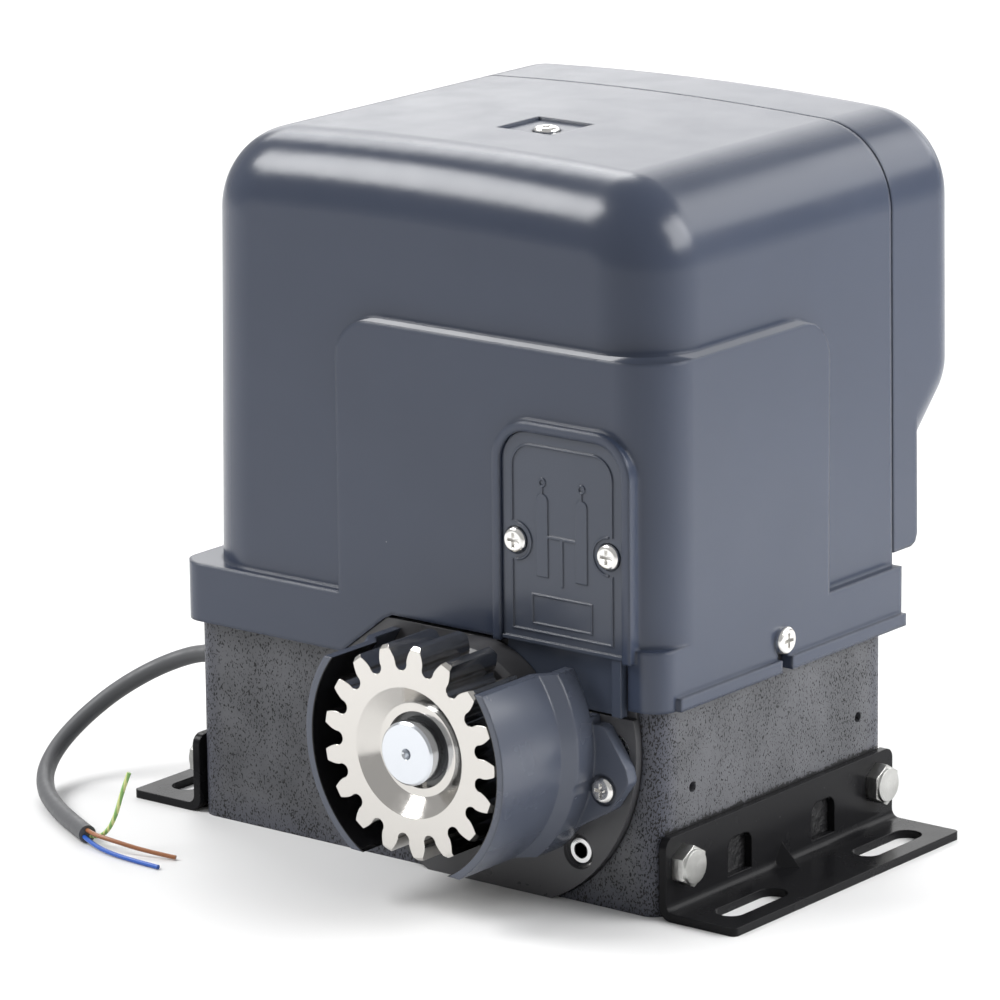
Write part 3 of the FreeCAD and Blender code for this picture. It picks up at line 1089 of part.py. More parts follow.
def limit_access_cover():
    """Screwed plate with a raised border line and a generic limit-stop diagram in relief."""
    radius = FRAME_RADIUS - FRAME_BAR - SEAT
    body = arch(PLATE_LEFT, PLATE_RIGHT, LIMIT_BOTTOM, PLATE_TOP, radius, PLATE_FRONT, PLATE_BACK)
    border = 4.0
    line_front = PLATE_FRONT - PLATE_LINE
    outer = arch(PLATE_LEFT + border, PLATE_RIGHT - border, LIMIT_BOTTOM + border, PLATE_TOP - border,
                 radius - 3, line_front, PLATE_FRONT + 0.5)
    inner = arch(PLATE_LEFT + border + 0.7, PLATE_RIGHT - border - 0.7, LIMIT_BOTTOM + border + 0.7,
                 PLATE_TOP - border - 0.7, radius - 3.7, line_front - 1, PLATE_FRONT + 1)
    frame = outer.cut(inner)
    lip = box(PLATE_LEFT, PLATE_RIGHT, PLATE_FRONT - 0.8, PLATE_FRONT + 0.5, LIMIT_BOTTOM, LIMIT_BOTTOM + 1.4)
    bosses = []
    for x, z in limit_screw_places():
        frame = frame.cut(rod_y(x, z, 7.0, line_front - 1, PLATE_FRONT + 1))
        boss = ring_y(x, z, 6.3, 7.0, line_front, PLATE_FRONT + 0.5)
        middle = (PLATE_LEFT + PLATE_RIGHT) / 2
        inward = box(min(x, middle), max(x, middle), line_front, PLATE_FRONT + 0.5, z - 8, z + 8)
        bosses.append(boss.common(inward))
    body = fuse([body, frame, lip] + bosses + limit_diagram())
    holes = []
    for x, z in limit_screw_places():
        holes.append(rod_y(x, z, SCREW_R + SEAT, PLATE_FRONT - 2, PLATE_BACK + 1))
        holes.append(rod_y(x, z, SCREW_HEAD_R + SEAT, PLATE_FRONT - 2, PLATE_FRONT + 0.8))
    return body.cut(Part.makeCompound(holes))


def limit_cover_screws():
    return group([pan_screw(vec(x, PLATE_FRONT + 0.8, z), (0, -1, 0), SCREW_HEAD_R, LIMIT_BOX_DEPTH - 3, SCREW_R)
                  for x, z in limit_screw_places()])


def limit_sensor_board():
    y = PLATE_BACK + LIMIT_BOX_DEPTH - 6
    x0 = PLATE_LEFT + SEAT + LIMIT_WALL + SEAT
    x1 = PLATE_RIGHT - SEAT - LIMIT_WALL - SEAT
    board = box(x0, x1, y, y + BOARD_THICKNESS, LIMIT_BOTTOM + LIMIT_WALL + SEAT, LIMIT_SCREW_Z - 6)
    middle = (x0 + x1) / 2
    tubes = [rod_x(y - 2.2, LIMIT_BOTTOM + 12 + 10 * i, 2.4, middle - 12, middle + 12) for i in range(2)]
    return fuse([board] + tubes)


# ---- pinion guard -----------------------------------------------------------------------------
def guard_skin(clear):
    """Stepped tube round the pinion: wide at its flange, narrower over the teeth."""
    wide = GUARD_STEP + clear
    y_step = PINION_BACK - 1.5
    return [(clear, -200), (clear, y_step), (wide, y_step + 5), (wide, FLANGE_FRONT)]


def guard_body(radius):
    steps = [(radius + extra, y) for extra, y in guard_skin(0)]
    return turned_y([(0, -200)] + steps + [(0, FLANGE_FRONT)], OUTPUT_X, OUTPUT_Z)


def guard_ear(side):
    """Ear of the guard's flange, as offsets from the pinion's axis."""
    points = [(30.0, 9.6)] + list(GUARD_EAR) + [(30.0, -28.9)]
    places = [vec(OUTPUT_X + side * x, FLANGE_FRONT - GUARD_FLANGE, OUTPUT_Z + z) for x, z in points]
    ear = polygon(places, vec(0, GUARD_FLANGE, 0))
    corners = [edge for edge in ear.Edges if abs(edge.BoundBox.YLength - GUARD_FLANGE) < 0.01
               and side * (edge.BoundBox.Center.x - OUTPUT_X) > 50]
    return ear.makeFillet(3.0, corners)


def pinion_guard():
    outer = guard_body(GUARD_OUTER_R)
    slant = (GUARD_FRONT_RIGHT - GUARD_FRONT_LEFT) / (2 * GUARD_OUTER_R)
    left = OUTPUT_X - 2 * GUARD_OUTER_R
    right = OUTPUT_X + 2 * GUARD_OUTER_R
    middle = (GUARD_FRONT_LEFT + GUARD_FRONT_RIGHT) / 2
    keep = polygon([vec(left, FLANGE_FRONT, GUARD_BOTTOM),
                    vec(left, -middle + slant * 2 * GUARD_OUTER_R, GUARD_BOTTOM),
                    vec(right, -middle - slant * 2 * GUARD_OUTER_R, GUARD_BOTTOM),
                    vec(right, FLANGE_FRONT, GUARD_BOTTOM)], vec(0, 0, GUARD_TOP - GUARD_BOTTOM))
    outer = outer.common(keep)
    body = fuse([outer, guard_ear(1), guard_ear(-1)])
    body = body.cut(guard_body(GUARD_INNER_R))
    # back plate under the pinion joins the two walls
    plate = ring_y(OUTPUT_X, OUTPUT_Z, FLANGE_BOSS_R + 2, GUARD_INNER_R + GUARD_STEP + 1,
                   FLANGE_FRONT - GUARD_WALL, FLANGE_FRONT)
    plate = plate.common(box(left, right, FLANGE_FRONT - GUARD_WALL, FLANGE_FRONT, GUARD_PLATE_BOTTOM,
                             OUTPUT_Z - MODULE))
    body = fuse([body, plate])
    # clear of the limit housing's apron and the hood's frame above the right ear
    body = body.cut(box(FRAME_LEFT - 2, HALF_LENGTH, FRAME_FRONT - 1, FLANGE_FRONT + 1,
                        LIMIT_APRON_BOTTOM - 1, GUARD_TOP + 1))
    tools = []
    for side in (-1, 1):
        x = OUTPUT_X + side * GUARD_SCREW[0]
        z = OUTPUT_Z + GUARD_SCREW[1]
        tools.append(rod_y(x, z, SCREW_R + SEAT, FLANGE_FRONT - GUARD_FLANGE - 1, FLANGE_FRONT + 1))
        tools.append(rod_y(x, z, SCREW_HEAD_R + 1, FLANGE_FRONT - GUARD_FLANGE - 20,
                           FLANGE_FRONT - GUARD_FLANGE + GUARD_SCREW_SINK))
    return body.cut(Part.makeCompound(tools))


def guard_screws():
    screws = []
    for side in (-1, 1):
        x = OUTPUT_X + side * GUARD_SCREW[0]
        z = OUTPUT_Z + GUARD_SCREW[1]
        seat = vec(x, FLANGE_FRONT - GUARD_FLANGE + GUARD_SCREW_SINK, z)
        screws.append(pan_screw(seat, (0, -1, 0), SCREW_HEAD_R, GUARD_FLANGE - GUARD_SCREW_SINK, SCREW_R))
    return group(screws)


# ---- feet -------------------------------------------------------------------------------------
def foot_bracket():
    """Bent steel L for the right side, with slots, pressed windows and a dart in the bend."""
    x0 = HALF_LENGTH
    x1 = HALF_LENGTH + FOOT_SHEET
    x2 = HALF_LENGTH + FOOT_REACH
    y0 = -HALF_DEPTH
    section = [vec(x0, y0, 0), vec(x2, y0, 0), vec(x2, y0, FOOT_SHEET), vec(x1, y0, FOOT_SHEET),
               vec(x1, y0, FOOT_HEIGHT), vec(x0, y0, FOOT_HEIGHT)]
    body = polygon(section, vec(0, BASE_DEPTH, 0))

    def along_y(x, z):
        return [edge for edge in body.Edges if edge.BoundBox.YLength > 10
                and abs(edge.BoundBox.Center.x - x) < 0.01 and abs(edge.BoundBox.Center.z - z) < 0.01]

    body = body.makeFillet(FOOT_BEND, along_y(x1, FOOT_SHEET))
    body = body.makeFillet(FOOT_BEND + FOOT_SHEET - 1.0, along_y(x0, 0))
    upright = [edge for edge in body.Edges if abs(edge.BoundBox.XLength - FOOT_SHEET) < 0.01
               and abs(edge.BoundBox.Center.z - FOOT_HEIGHT) < 0.01]
    body = body.makeFillet(4.0, upright)
    tips = [edge for edge in body.Edges if abs(edge.BoundBox.Center.x - x2) < 0.01
            and abs(edge.BoundBox.ZLength - FOOT_SHEET) < 0.01 and edge.BoundBox.YLength < 0.01]
    body = body.makeFillet(2.0, tips)
    dart = Part.makeSolid(Part.makeShell([
        Part.Face(Part.makePolygon([vec(*p) for p in tri] + [vec(*tri[0])]))
        for tri in dart_triangles(x1 - 1, FOOT_SHEET - 1)]))
    body = fuse([body, dart])
    tools = []
    for side in (-1, 1):
        y = side * SLOT_SPACING / 2
        half = (SLOT_LENGTH - SLOT_WIDTH) / 2
        x = HALF_LENGTH + SLOT_OFFSET
        tools.append(fuse([box(x - SLOT_WIDTH / 2, x + SLOT_WIDTH / 2, y - half, y + half, -1, FOOT_SHEET + 1),
                           rod_z(x, y - half, SLOT_WIDTH / 2, -1, FOOT_SHEET + 1),
                           rod_z(x, y + half, SLOT_WIDTH / 2, -1, FOOT_SHEET + 1)]))
        window = arch(-WINDOW_WIDTH / 2, WINDOW_WIDTH / 2, WINDOW_BOTTOM, WINDOW_TOP, 4, 0, FOOT_SHEET + 8)
        window.rotate(vec(0, 0, 0), vec(0, 0, 1), -90)
        window.translate(vec(x0 - 4, side * WINDOW_OFFSET, 0))
        tools.append(window)
        tools.append(rod_x(side * FOOT_BOLT_Y, FOOT_BOLT_Z, FOOT_BOLT_R + 0.5, x0 - 1, x1 + 1))
    return body.cut(Part.makeCompound(tools))


def dart_triangles(x, z):
    low = (x, -DART_HALF, z)
    high = (x, DART_HALF, z)
    out = (x + DART_REACH, 0, z)
    up = (x, 0, z + DART_REACH)
    return [[low, out, up], [high, up, out], [low, up, high], [low, high, out]]


def bracket_bolts():
    bolts = []
    for side in (-1, 1):
        for y in (-FOOT_BOLT_Y, FOOT_BOLT_Y):
            seat = side * (HALF_LENGTH + FOOT_SHEET)
            head = hexagon(vec(seat, y, FOOT_BOLT_Z), (side, 0, 0), FOOT_BOLT_AF, 5.5)
            dome = Part.makeCone(FOOT_BOLT_AF * 0.62, FOOT_BOLT_AF * 0.46, 5.5, vec(seat, y, FOOT_BOLT_Z),
                                 vec(side, 0, 0))
            head = head.common(dome.fuse(rod_x(y, FOOT_BOLT_Z, FOOT_BOLT_AF, min(seat, seat + side * 4.6),
                                               max(seat, seat + side * 4.6))))
            length = FOOT_SHEET + (BASE_WALL if side < 0 else 14)
            shank = Part.makeCylinder(FOOT_BOLT_R, length, vec(seat, y, FOOT_BOLT_Z), vec(-side, 0, 0))
            bolts.append(head.fuse(shank).removeSplitter())
    return group(bolts)


# ---- electrics -----------------------------------------------------------------------------------
def run_capacitor():
    shoulder = CAPACITOR_TOP - 1.5
    body = turned_z([(0, CAPACITOR_BOTTOM), (CAPACITOR_R, CAPACITOR_BOTTOM), (CAPACITOR_R, shoulder - 0.5),
                     (CAPACITOR_R - 2, CAPACITOR_TOP), (CAPACITOR_R - 8, shoulder),
                     (0, shoulder)], CAPACITOR_X, CAPACITOR_Y)
    tags = [box(CAPACITOR_X + s * CAPACITOR_R / 3 - 0.4, CAPACITOR_X + s * CAPACITOR_R / 3 + 0.4,
                CAPACITOR_Y - 3, CAPACITOR_Y + 3, shoulder - 0.5, CAPACITOR_TOP + 8) for s in (-1, 1)]
    return fuse([body] + tags)


def capacitor_clamp():
    z0 = CAPACITOR_BOTTOM + CLAMP_HEIGHT * 1.5
    z1 = z0 + CLAMP_HEIGHT
    band = ring_z(CAPACITOR_X, CAPACITOR_Y, CAPACITOR_R + FIT, CAPACITOR_R + 1.6, z0, z1)
    bulkhead = GEARCASE_LEFT - BULKHEAD
    arm = box(CAPACITOR_X + CAPACITOR_R + 1, bulkhead, CAPACITOR_Y - 1.5, CAPACITOR_Y + 1.5, z0, z1)
    foot = box(bulkhead - 2, bulkhead, CAPACITOR_Y - 9, CAPACITOR_Y + 9, z0, z1)
    saucer = ring_z(CAPACITOR_X, CAPACITOR_Y, 6, CAPACITOR_R, BASE_FLOOR, CAPACITOR_BOTTOM)
    return group([fuse([band, arm, foot]), saucer])


def transformer():
    """Laminated core with a moulded bobbin, standing on the floor of the dry compartment."""
    x0 = TRANSFORMER_X - CORE_WIDTH / 2
    x1 = TRANSFORMER_X + CORE_WIDTH / 2
    y = TRANSFORMER_Y
    half = CORE_LENGTH / 2
    low = BASE_FLOOR + CORE_LIMB
    high = BASE_FLOOR + CORE_HEIGHT - CORE_LIMB
    core = box(x0, x1, y - half, y + half, BASE_FLOOR, BASE_FLOOR + CORE_HEIGHT)
    windows = [box(x0 - 1, x1 + 1, y + s * half / 2 - CORE_LIMB / 2, y + s * half / 2 + CORE_LIMB / 2, low, high)
               for s in (-1, 1)]
    core = core.cut(Part.makeCompound(windows))
    middle = half / 2 - CORE_LIMB / 2
    bobbin = box(x0 - 5, x1 + 5, y - half / 2 - CORE_LIMB / 2 + SEAT, y + half / 2 + CORE_LIMB / 2 - SEAT,
                 low + SEAT, high - SEAT)
    bobbin = bobbin.cut(box(x0 - SEAT, x1 + SEAT, y - middle - SEAT, y + middle + SEAT, low - 1, high + 1))
    return group([core, bobbin])


def board_bracket():
    """Folded sheet that stands behind the motor and carries the control board."""
    y = BOARD_Y
    back = y + 1.5
    plate = box(-BOARD_HALF, BOARD_HALF, y, back, COVER_TOP, BOARD_TOP)
    foot = box(OUTPUT_X - 52, OUTPUT_X + 28, STATOR_R + 1, back, COVER_TOP, COVER_TOP + 1.5)
    wings = [box(s * BOARD_HALF - 0.75, s * BOARD_HALF + 0.75, y - 10, back, COVER_TOP + 4, BOARD_TOP)
             for s in (-1, 1)]
    studs = [rod_y(s * (BOARD_HALF - 8), z, 3, back, back + BOARD_STANDOFF) for s in (-1, 1)
             for z in (BOARD_BOTTOM + 8, BOARD_TOP - 12)]
    return fuse([plate, foot] + wings + studs)


def control_board():
    y = BOARD_Y + 1.5 + BOARD_STANDOFF
    face = y + BOARD_THICKNESS
    z0 = BOARD_BOTTOM + RELAY_LIFT
    z1 = z0 + RELAY_SIZE * 1.6
    board = box(2 - BOARD_HALF, BOARD_HALF - 2, y, face, BOARD_BOTTOM, BOARD_TOP - 4)
    relays = []
    for i in range(3):
        x = RELAY_PITCH * (i - 2) - RELAY_SIZE / 2
        relays.append(box(x, x + RELAY_SIZE, y + 1, face + RELAY_HEIGHT, z0, z0 + RELAY_SIZE))
    cans = [rod_y(RELAY_PITCH * (1.2 + 0.8 * i), z1, RELAY_SIZE * 0.4, y + 1, face + RELAY_HEIGHT)
            for i in range(2)]
    chip = box(-RELAY_PITCH, 0, y + 1, face + 2.4, z1 - 5, z1 + 5)
    return fuse([board, chip] + relays + cans)


def terminal_block():
    y0 = BOARD_Y + 1.5 + BOARD_STANDOFF + BOARD_THICKNESS
    y1 = y0 + TERMINAL_DEPTH
    half = TERMINAL_PITCH * TERMINAL_COUNT / 2
    z0 = BOARD_BOTTOM + 4
    z1 = z0 + TERMINAL_HEIGHT
    body = box(-half, half, y0, y1, z0, z1).cut(box(-half - 1, half + 1, y1 - 4, y1 + 1, z1 - 3, z1 + 1))
    holes = [rod_y(TERMINAL_PITCH * (i + 0.5) - half, z0 + TERMINAL_HEIGHT / 3, 1.8, y1 - 5, y1 + 1)
             for i in range(TERMINAL_COUNT)]
    return body.cut(Part.makeCompound(holes))


# ---- lead -----------------------------------------------------------------------------------------
def cable_gland():
    """Threaded nylon gland: lock nut inside, hexagon and dome nut outside."""
    x = -HALF_LENGTH
    thread = rod_x(GLAND_Y, GLAND_Z, GLAND_R, x - 1, x + BASE_WALL + 7)
    body = hexagon(vec(x, GLAND_Y, GLAND_Z), (-1, 0, 0), GLAND_R * 2 + 4, 5)
    dome = turned_y([(0, 0), (GLAND_R + 1, 0), (GLAND_R + 1, 6), (CORD_R + 2, GLAND_REACH - 5),
                     (0, GLAND_REACH - 5)], 0, 0)
    dome.rotate(vec(0, 0, 0), vec(0, 0, 1), 90)
    dome.translate(vec(x - 5, GLAND_Y, GLAND_Z))
    nut = hexagon(vec(x + BASE_WALL, GLAND_Y, GLAND_Z), (1, 0, 0), GLAND_R * 2 + 4, 5)
    return fuse([thread, body, dome, nut])


def tube(points, radius, name):
    """Straight runs joined by tangent arcs, swept with a round section."""
    points = [vec(*p) for p in points]
    edges = []
    start = points[0]
    for i in range(1, len(points) - 1):
        back = points[i - 1] - points[i]
        ahead = points[i + 1] - points[i]
        run = min(back.Length, ahead.Length)
        back.normalize()
        ahead.normalize()
        half_turn = (math.pi - back.getAngle(ahead)) / 2
        cut = 0.45 * run
        bend = cut / math.tan(half_turn)
        first = points[i] + back * cut
        last = points[i] + ahead * cut
        inward = back + ahead
        inward.normalize()
        centre = points[i] + inward * (bend / math.cos(half_turn))
        middle = centre - inward * bend
        edges.append(Part.LineSegment(start, first).toShape())
        edges.append(Part.Arc(first, middle, last).toShape())
        start = last
        print(name, "bend", i, "radius", round(bend, 1))
    edges.append(Part.LineSegment(start, points[-1]).toShape())
    path = Part.Wire(edges)
    ahead = points[1] - points[0]
    section = Part.Wire(Part.makeCircle(radius, points[0], ahead))
    body = path.makePipe(Part.Face(section))
    solid = body.Solids[0] if body.Solids else Part.makeSolid(body)
    share = solid.Volume / (math.pi * radius ** 2 * path.Length)
    print(name, "length", round(path.Length, 1), "volume share", round(share, 4))
    return solid


CORD_ROUTE = (
    (-HALF_LENGTH - GLAND_REACH, GLAND_Y, GLAND_Z), (-132.0, GLAND_Y, GLAND_Z), (-149.0, -33.0, 40.5),
    (-162.0, -43.0, 31.5), (-169.5, -55.0, 22.0), (-171.5, -68.0, 13.5), (-167.0, -80.5, 7.6),
    (-157.0, -91.5, 4.4), (-143.5, -101.5, 3.6), (-128.5, -110.5, 3.4), (-112.0, -119.0, 3.3))
BLUE_ROUTE = (
    (-112.5, -120.2, 2.55), (-107.2, -122.9, 2.2), (-97.8, -125.5, 1.3), (-84.0, -126.8, 0.9),
    (-71.5, -127.2, 0.9))
BROWN_ROUTE = (
    (-111.9, -119.05, 4.8), (-106.7, -121.9, 5.0), (-97.0, -122.0, 4.4), (-85.0, -119.2, 2.3),
    (-73.5, -115.6, 1.0))
GREEN_ROUTE = (
    (-111.2, -117.95, 2.6), (-105.9, -119.4, 3.3), (-101.0, -119.4, 7.4), (-98.0, -118.6, 14.0),
    (-96.6, -117.2, 21.3), (-94.6, -115.4, 28.4))


# ---- everything --------------------------------------------------------------------------------------
def main():
    os.makedirs("parts", exist_ok=True)
    builders = [base_casting, output_flange, flange_screws, release_spindle, clutch_dog, clutch_fork,
                output_shaft, output_pinion, retaining_ring, output_bearings, shaft_seal, worm_wheel,
                worm_shaft, rotor_core, gearcase_gasket, gearcase_cover, gearcase_cover_screws,
                motor_lower_bell, motor_stator, motor_windings, motor_upper_bell, motor_tie_bolts,
                motor_bearings, hood_post, front_hood, rear_hood, hood_side_screws, hood_top_screw,
                limit_housing, limit_access_cover, limit_cover_screws, limit_sensor_board,
                pinion_guard, guard_screws, bracket_bolts, run_capacitor, capacitor_clamp,
                transformer, board_bracket, control_board, terminal_block, cable_gland]
    for build in builders:
        export(build.__name__, build())
    export("pinion_key", key_seat(0))
    bracket = foot_bracket()
    export("foot_bracket_right", bracket)
    export("foot_bracket_left", mirror_x(bracket))
    export("power_cord", tube(CORD_ROUTE, CORD_R, "power_cord"))
    export("conductor_blue", tube(BLUE_ROUTE, CORE_R, "conductor_blue"))
    export("conductor_brown", tube(BROWN_ROUTE, CORE_R, "conductor_brown"))
    export("conductor_green_yellow", tube(GREEN_ROUTE, CORE_R, "conductor_green_yellow"))


main()
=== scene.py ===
import bpy
import math
from mathutils import Matrix, Vector


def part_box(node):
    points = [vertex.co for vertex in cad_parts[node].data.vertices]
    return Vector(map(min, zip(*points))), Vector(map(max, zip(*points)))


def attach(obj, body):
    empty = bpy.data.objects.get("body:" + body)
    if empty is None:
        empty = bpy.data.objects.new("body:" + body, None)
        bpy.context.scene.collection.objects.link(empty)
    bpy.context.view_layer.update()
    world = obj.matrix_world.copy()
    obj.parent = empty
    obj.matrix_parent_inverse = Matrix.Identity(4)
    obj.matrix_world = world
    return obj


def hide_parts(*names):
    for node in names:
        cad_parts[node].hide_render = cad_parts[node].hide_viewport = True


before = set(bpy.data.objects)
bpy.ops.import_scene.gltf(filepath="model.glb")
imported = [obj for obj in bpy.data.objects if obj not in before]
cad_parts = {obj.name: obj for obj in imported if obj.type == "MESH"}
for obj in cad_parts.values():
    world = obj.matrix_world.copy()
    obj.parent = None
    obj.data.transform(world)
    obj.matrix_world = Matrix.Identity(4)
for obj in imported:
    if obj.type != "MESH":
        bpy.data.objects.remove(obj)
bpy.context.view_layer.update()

# ---- camera ----------------------------------------------------------------------
# A long lens from above the hood's height, looking down at the corner between the
# pinion's side and the right foot.
CAMERA_AZIMUTH = math.radians(38.14)
CAMERA_ELEVATION = math.radians(14.49)
CAMERA_ROLL = math.radians(-0.59)
CAMERA_DISTANCE = 2.1277
CAMERA_AIM = Vector((-0.0103, -0.0090, 0.1183))

camera = bpy.data.objects.new("camera", bpy.data.cameras.new("camera"))
bpy.context.scene.collection.objects.link(camera)
camera.data.sensor_width = 36.0
camera.data.lens = 216.0
camera.data.clip_end = 20.0
towards_camera = Vector((math.sin(CAMERA_AZIMUTH) * math.cos(CAMERA_ELEVATION),
                         -math.cos(CAMERA_AZIMUTH) * math.cos(CAMERA_ELEVATION),
                         math.sin(CAMERA_ELEVATION)))
camera.location = CAMERA_AIM + towards_camera * CAMERA_DISTANCE
aimed = (-towards_camera).to_track_quat("-Z", "Y").to_matrix().to_4x4()
camera.rotation_euler = (aimed @ Matrix.Rotation(CAMERA_ROLL, 4, "Z")).to_euler()
bpy.context.scene.camera = camera
bpy.context.scene.view_settings.view_transform = "Standard"

# ---- lead ------------------------------------------------------------------------
# Three-core lead in a smooth grey PVC sheath, clamped in a nylon gland on the left
# wall, lying free on the ground with its cores fanned out and their ends cut.
MM = 0.001
NOISE_BAND = (0.3, 0.7)  # nearly all of a noise texture's values lie between these


class Surface:
    """A procedural material under construction: one shader and helpers that feed it."""

    def __init__(self, name, colour, roughness, metallic=0.0):
        self.material = bpy.data.materials.new(name)
        self.material.use_nodes = True
        self.nodes = self.material.node_tree.nodes
        self.links = self.material.node_tree.links
        self.shader = self.nodes["Principled BSDF"]
        self.shader.inputs["Base Color"].default_value = (*colour, 1.0)
        self.shader.inputs["Roughness"].default_value = roughness
        self.shader.inputs["Metallic"].default_value = metallic
        self.place = self.nodes.new("ShaderNodeTexCoord").outputs["Object"]
        self.tint = None
        self.normal = None

    def stretched(self, scale):
        """Object coordinates scaled along each axis, for long grain."""
        mapping = self.nodes.new("ShaderNodeMapping")
        mapping.inputs["Scale"].default_value = scale
        self.links.new(self.place, mapping.inputs["Vector"])
        return mapping.outputs["Vector"]

    def moved(self, centre):
        """Object coordinates measured from a point."""
        mapping = self.nodes.new("ShaderNodeMapping")
        mapping.inputs["Location"].default_value = tuple(-number for number in centre)
        self.links.new(self.place, mapping.inputs["Vector"])
        return mapping.outputs["Vector"]

    def axes(self, centre=(0.0, 0.0, 0.0)):
        """The three coordinates measured from a point, each on its own socket."""
        split = self.nodes.new("ShaderNodeSeparateXYZ")
        self.links.new(self.moved(centre), split.inputs["Vector"])
        return split.outputs

    def off_axis(self, centre):
        """Distance from the line along Y through a point."""
        across, _, up = self.axes(centre)
        squares = self.maths("ADD", self.maths("MULTIPLY", across, across),
                             self.maths("MULTIPLY", up, up))
        return self.maths("SQRT", squares)

    def noise(self, size, detail=3.0, rough=0.5, place=None):
        """Noise whose features are about size metres across."""
        node = self.nodes.new("ShaderNodeTexNoise")
        node.inputs["Scale"].default_value = 1.0 / size
        node.inputs["Detail"].default_value = detail
        node.inputs["Roughness"].default_value = rough
        self.links.new(place or self.place, node.inputs["Vector"])
        return node.outputs["Fac"]

    def spots(self, size, place=None):
        """Points about size metres apart: distance to the nearest, and its random number."""
        node = self.nodes.new("ShaderNodeTexVoronoi")
        node.inputs["Scale"].default_value = 1.0 / size
        self.links.new(place or self.place, node.inputs["Vector"])
        split = self.nodes.new("ShaderNodeSeparateColor")
        self.links.new(node.outputs["Color"], split.inputs["Color"])
        return node.outputs["Distance"], split.outputs["Red"]

    def stripes(self, spacing, direction, centre=(0.0, 0.0, 0.0), rings=False, distortion=0.0):
        """Fine parallel lines across an axis, or rings about it."""
        wave = self.nodes.new("ShaderNodeTexWave")
        if rings:
            wave.wave_type = "RINGS"
            wave.rings_direction = direction
        else:
            wave.bands_direction = direction
        wave.inputs["Scale"].default_value = math.pi / 10 / spacing
        wave.inputs["Distortion"].default_value = distortion
        self.links.new(self.moved(centre), wave.inputs["Vector"])
        return wave.outputs["Fac"]

    def ramp(self, value, low, high, out_low=0.0, out_high=1.0):
        """Linear remap of a value, held at both ends."""
        node = self.nodes.new("ShaderNodeMapRange")
        for name, number in (("From Min", low), ("From Max", high),
                             ("To Min", out_low), ("To Max", out_high)):
            node.inputs[name].default_value = number
        self.links.new(value, node.inputs["Value"])
        return node.outputs["Result"]

    def maths(self, operation, first, second=0.0):
        """Sum on sockets and numbers; an operation on one value leaves the second out."""
        node = self.nodes.new("ShaderNodeMath")
        node.operation = operation
        for socket, value in zip(node.inputs, (first, second)):
            if isinstance(value, (int, float)):
                socket.default_value = value
            else:
                self.links.new(value, socket)
        return node.outputs[0]

    def blend(self, factor, first, second):
        """Mix of two colours; each is a colour or a socket."""
        node = self.nodes.new("ShaderNodeMix")
        node.data_type = "RGBA"
        self.links.new(factor, node.inputs["Factor"])
        colour_a, colour_b = node.inputs[6], node.inputs[7]
        for socket, value in ((colour_a, first), (colour_b, second)):
            if isinstance(value, tuple):
                socket.default_value = (*value, 1.0)
            else:
                self.links.new(value, socket)
        return node.outputs[2]

    def colour(self, socket):
        self.tint = socket
        self.links.new(socket, self.shader.inputs["Base Color"])

    def roughness(self, socket):
        self.links.new(socket, self.shader.inputs["Roughness"])

    def uneven_gloss(self, size, low, high, detail=3.0):
        """Roughness that drifts between two values in patches."""
        self.roughness(self.ramp(self.noise(size, detail), *NOISE_BAND, low, high))

    def point(self, socket):
        """Takes a socket as the surface's normal so far."""
        self.normal = socket
        self.links.new(socket, self.shader.inputs["Normal"])

    def soft_edges(self, radius):
        """Rounds the look of sharp edges; comes before any relief."""
        node = self.nodes.new("ShaderNodeBevel")
        node.samples = 4
        node.inputs["Radius"].default_value = radius
        self.point(node.outputs["Normal"])

    def bump(self, height, depth):
        """Adds a layer of relief; depth is its height in metres."""
        node = self.nodes.new("ShaderNodeBump")
        node.inputs["Distance"].default_value = depth
        node.inputs["Strength"].default_value = 1.0
        self.links.new(height, node.inputs["Height"])
        if self.normal is not None:
            self.links.new(self.normal, node.inputs["Normal"])
        self.point(node.outputs["Normal"])

    def grain(self, size, depth, detail=3.0):
        """Adds a relief of noise."""
        self.bump(self.noise(size, detail), depth)


def dress(surface, *nodes):
    """Gives nodes of the frame their finish."""
    for node in nodes:
        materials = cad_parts[node].data.materials
        materials.clear()
        materials.append(surface.material)


def cord_piece(name, route, radius, surface):
    """Round cord on a smooth spline through control points in millimetres."""
    data = bpy.data.curves.new(name, "CURVE")
    data.dimensions = "3D"
    spline = data.splines.new("NURBS")
    spline.points.add(len(route) - 1)
    for point, place in zip(spline.points, route):
        point.co = (*(Vector(place) * MM), 1.0)
    spline.order_u = 3
    spline.use_endpoint_u = True
    spline.resolution_u = 12
    data.bevel_depth = radius
    data.bevel_resolution = 8
    data.use_fill_caps = True
    piece = bpy.data.objects.new(name, data)
    bpy.context.scene.collection.objects.link(piece)
    piece.data.materials.append(surface.material)
    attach(piece, "root")
    return piece


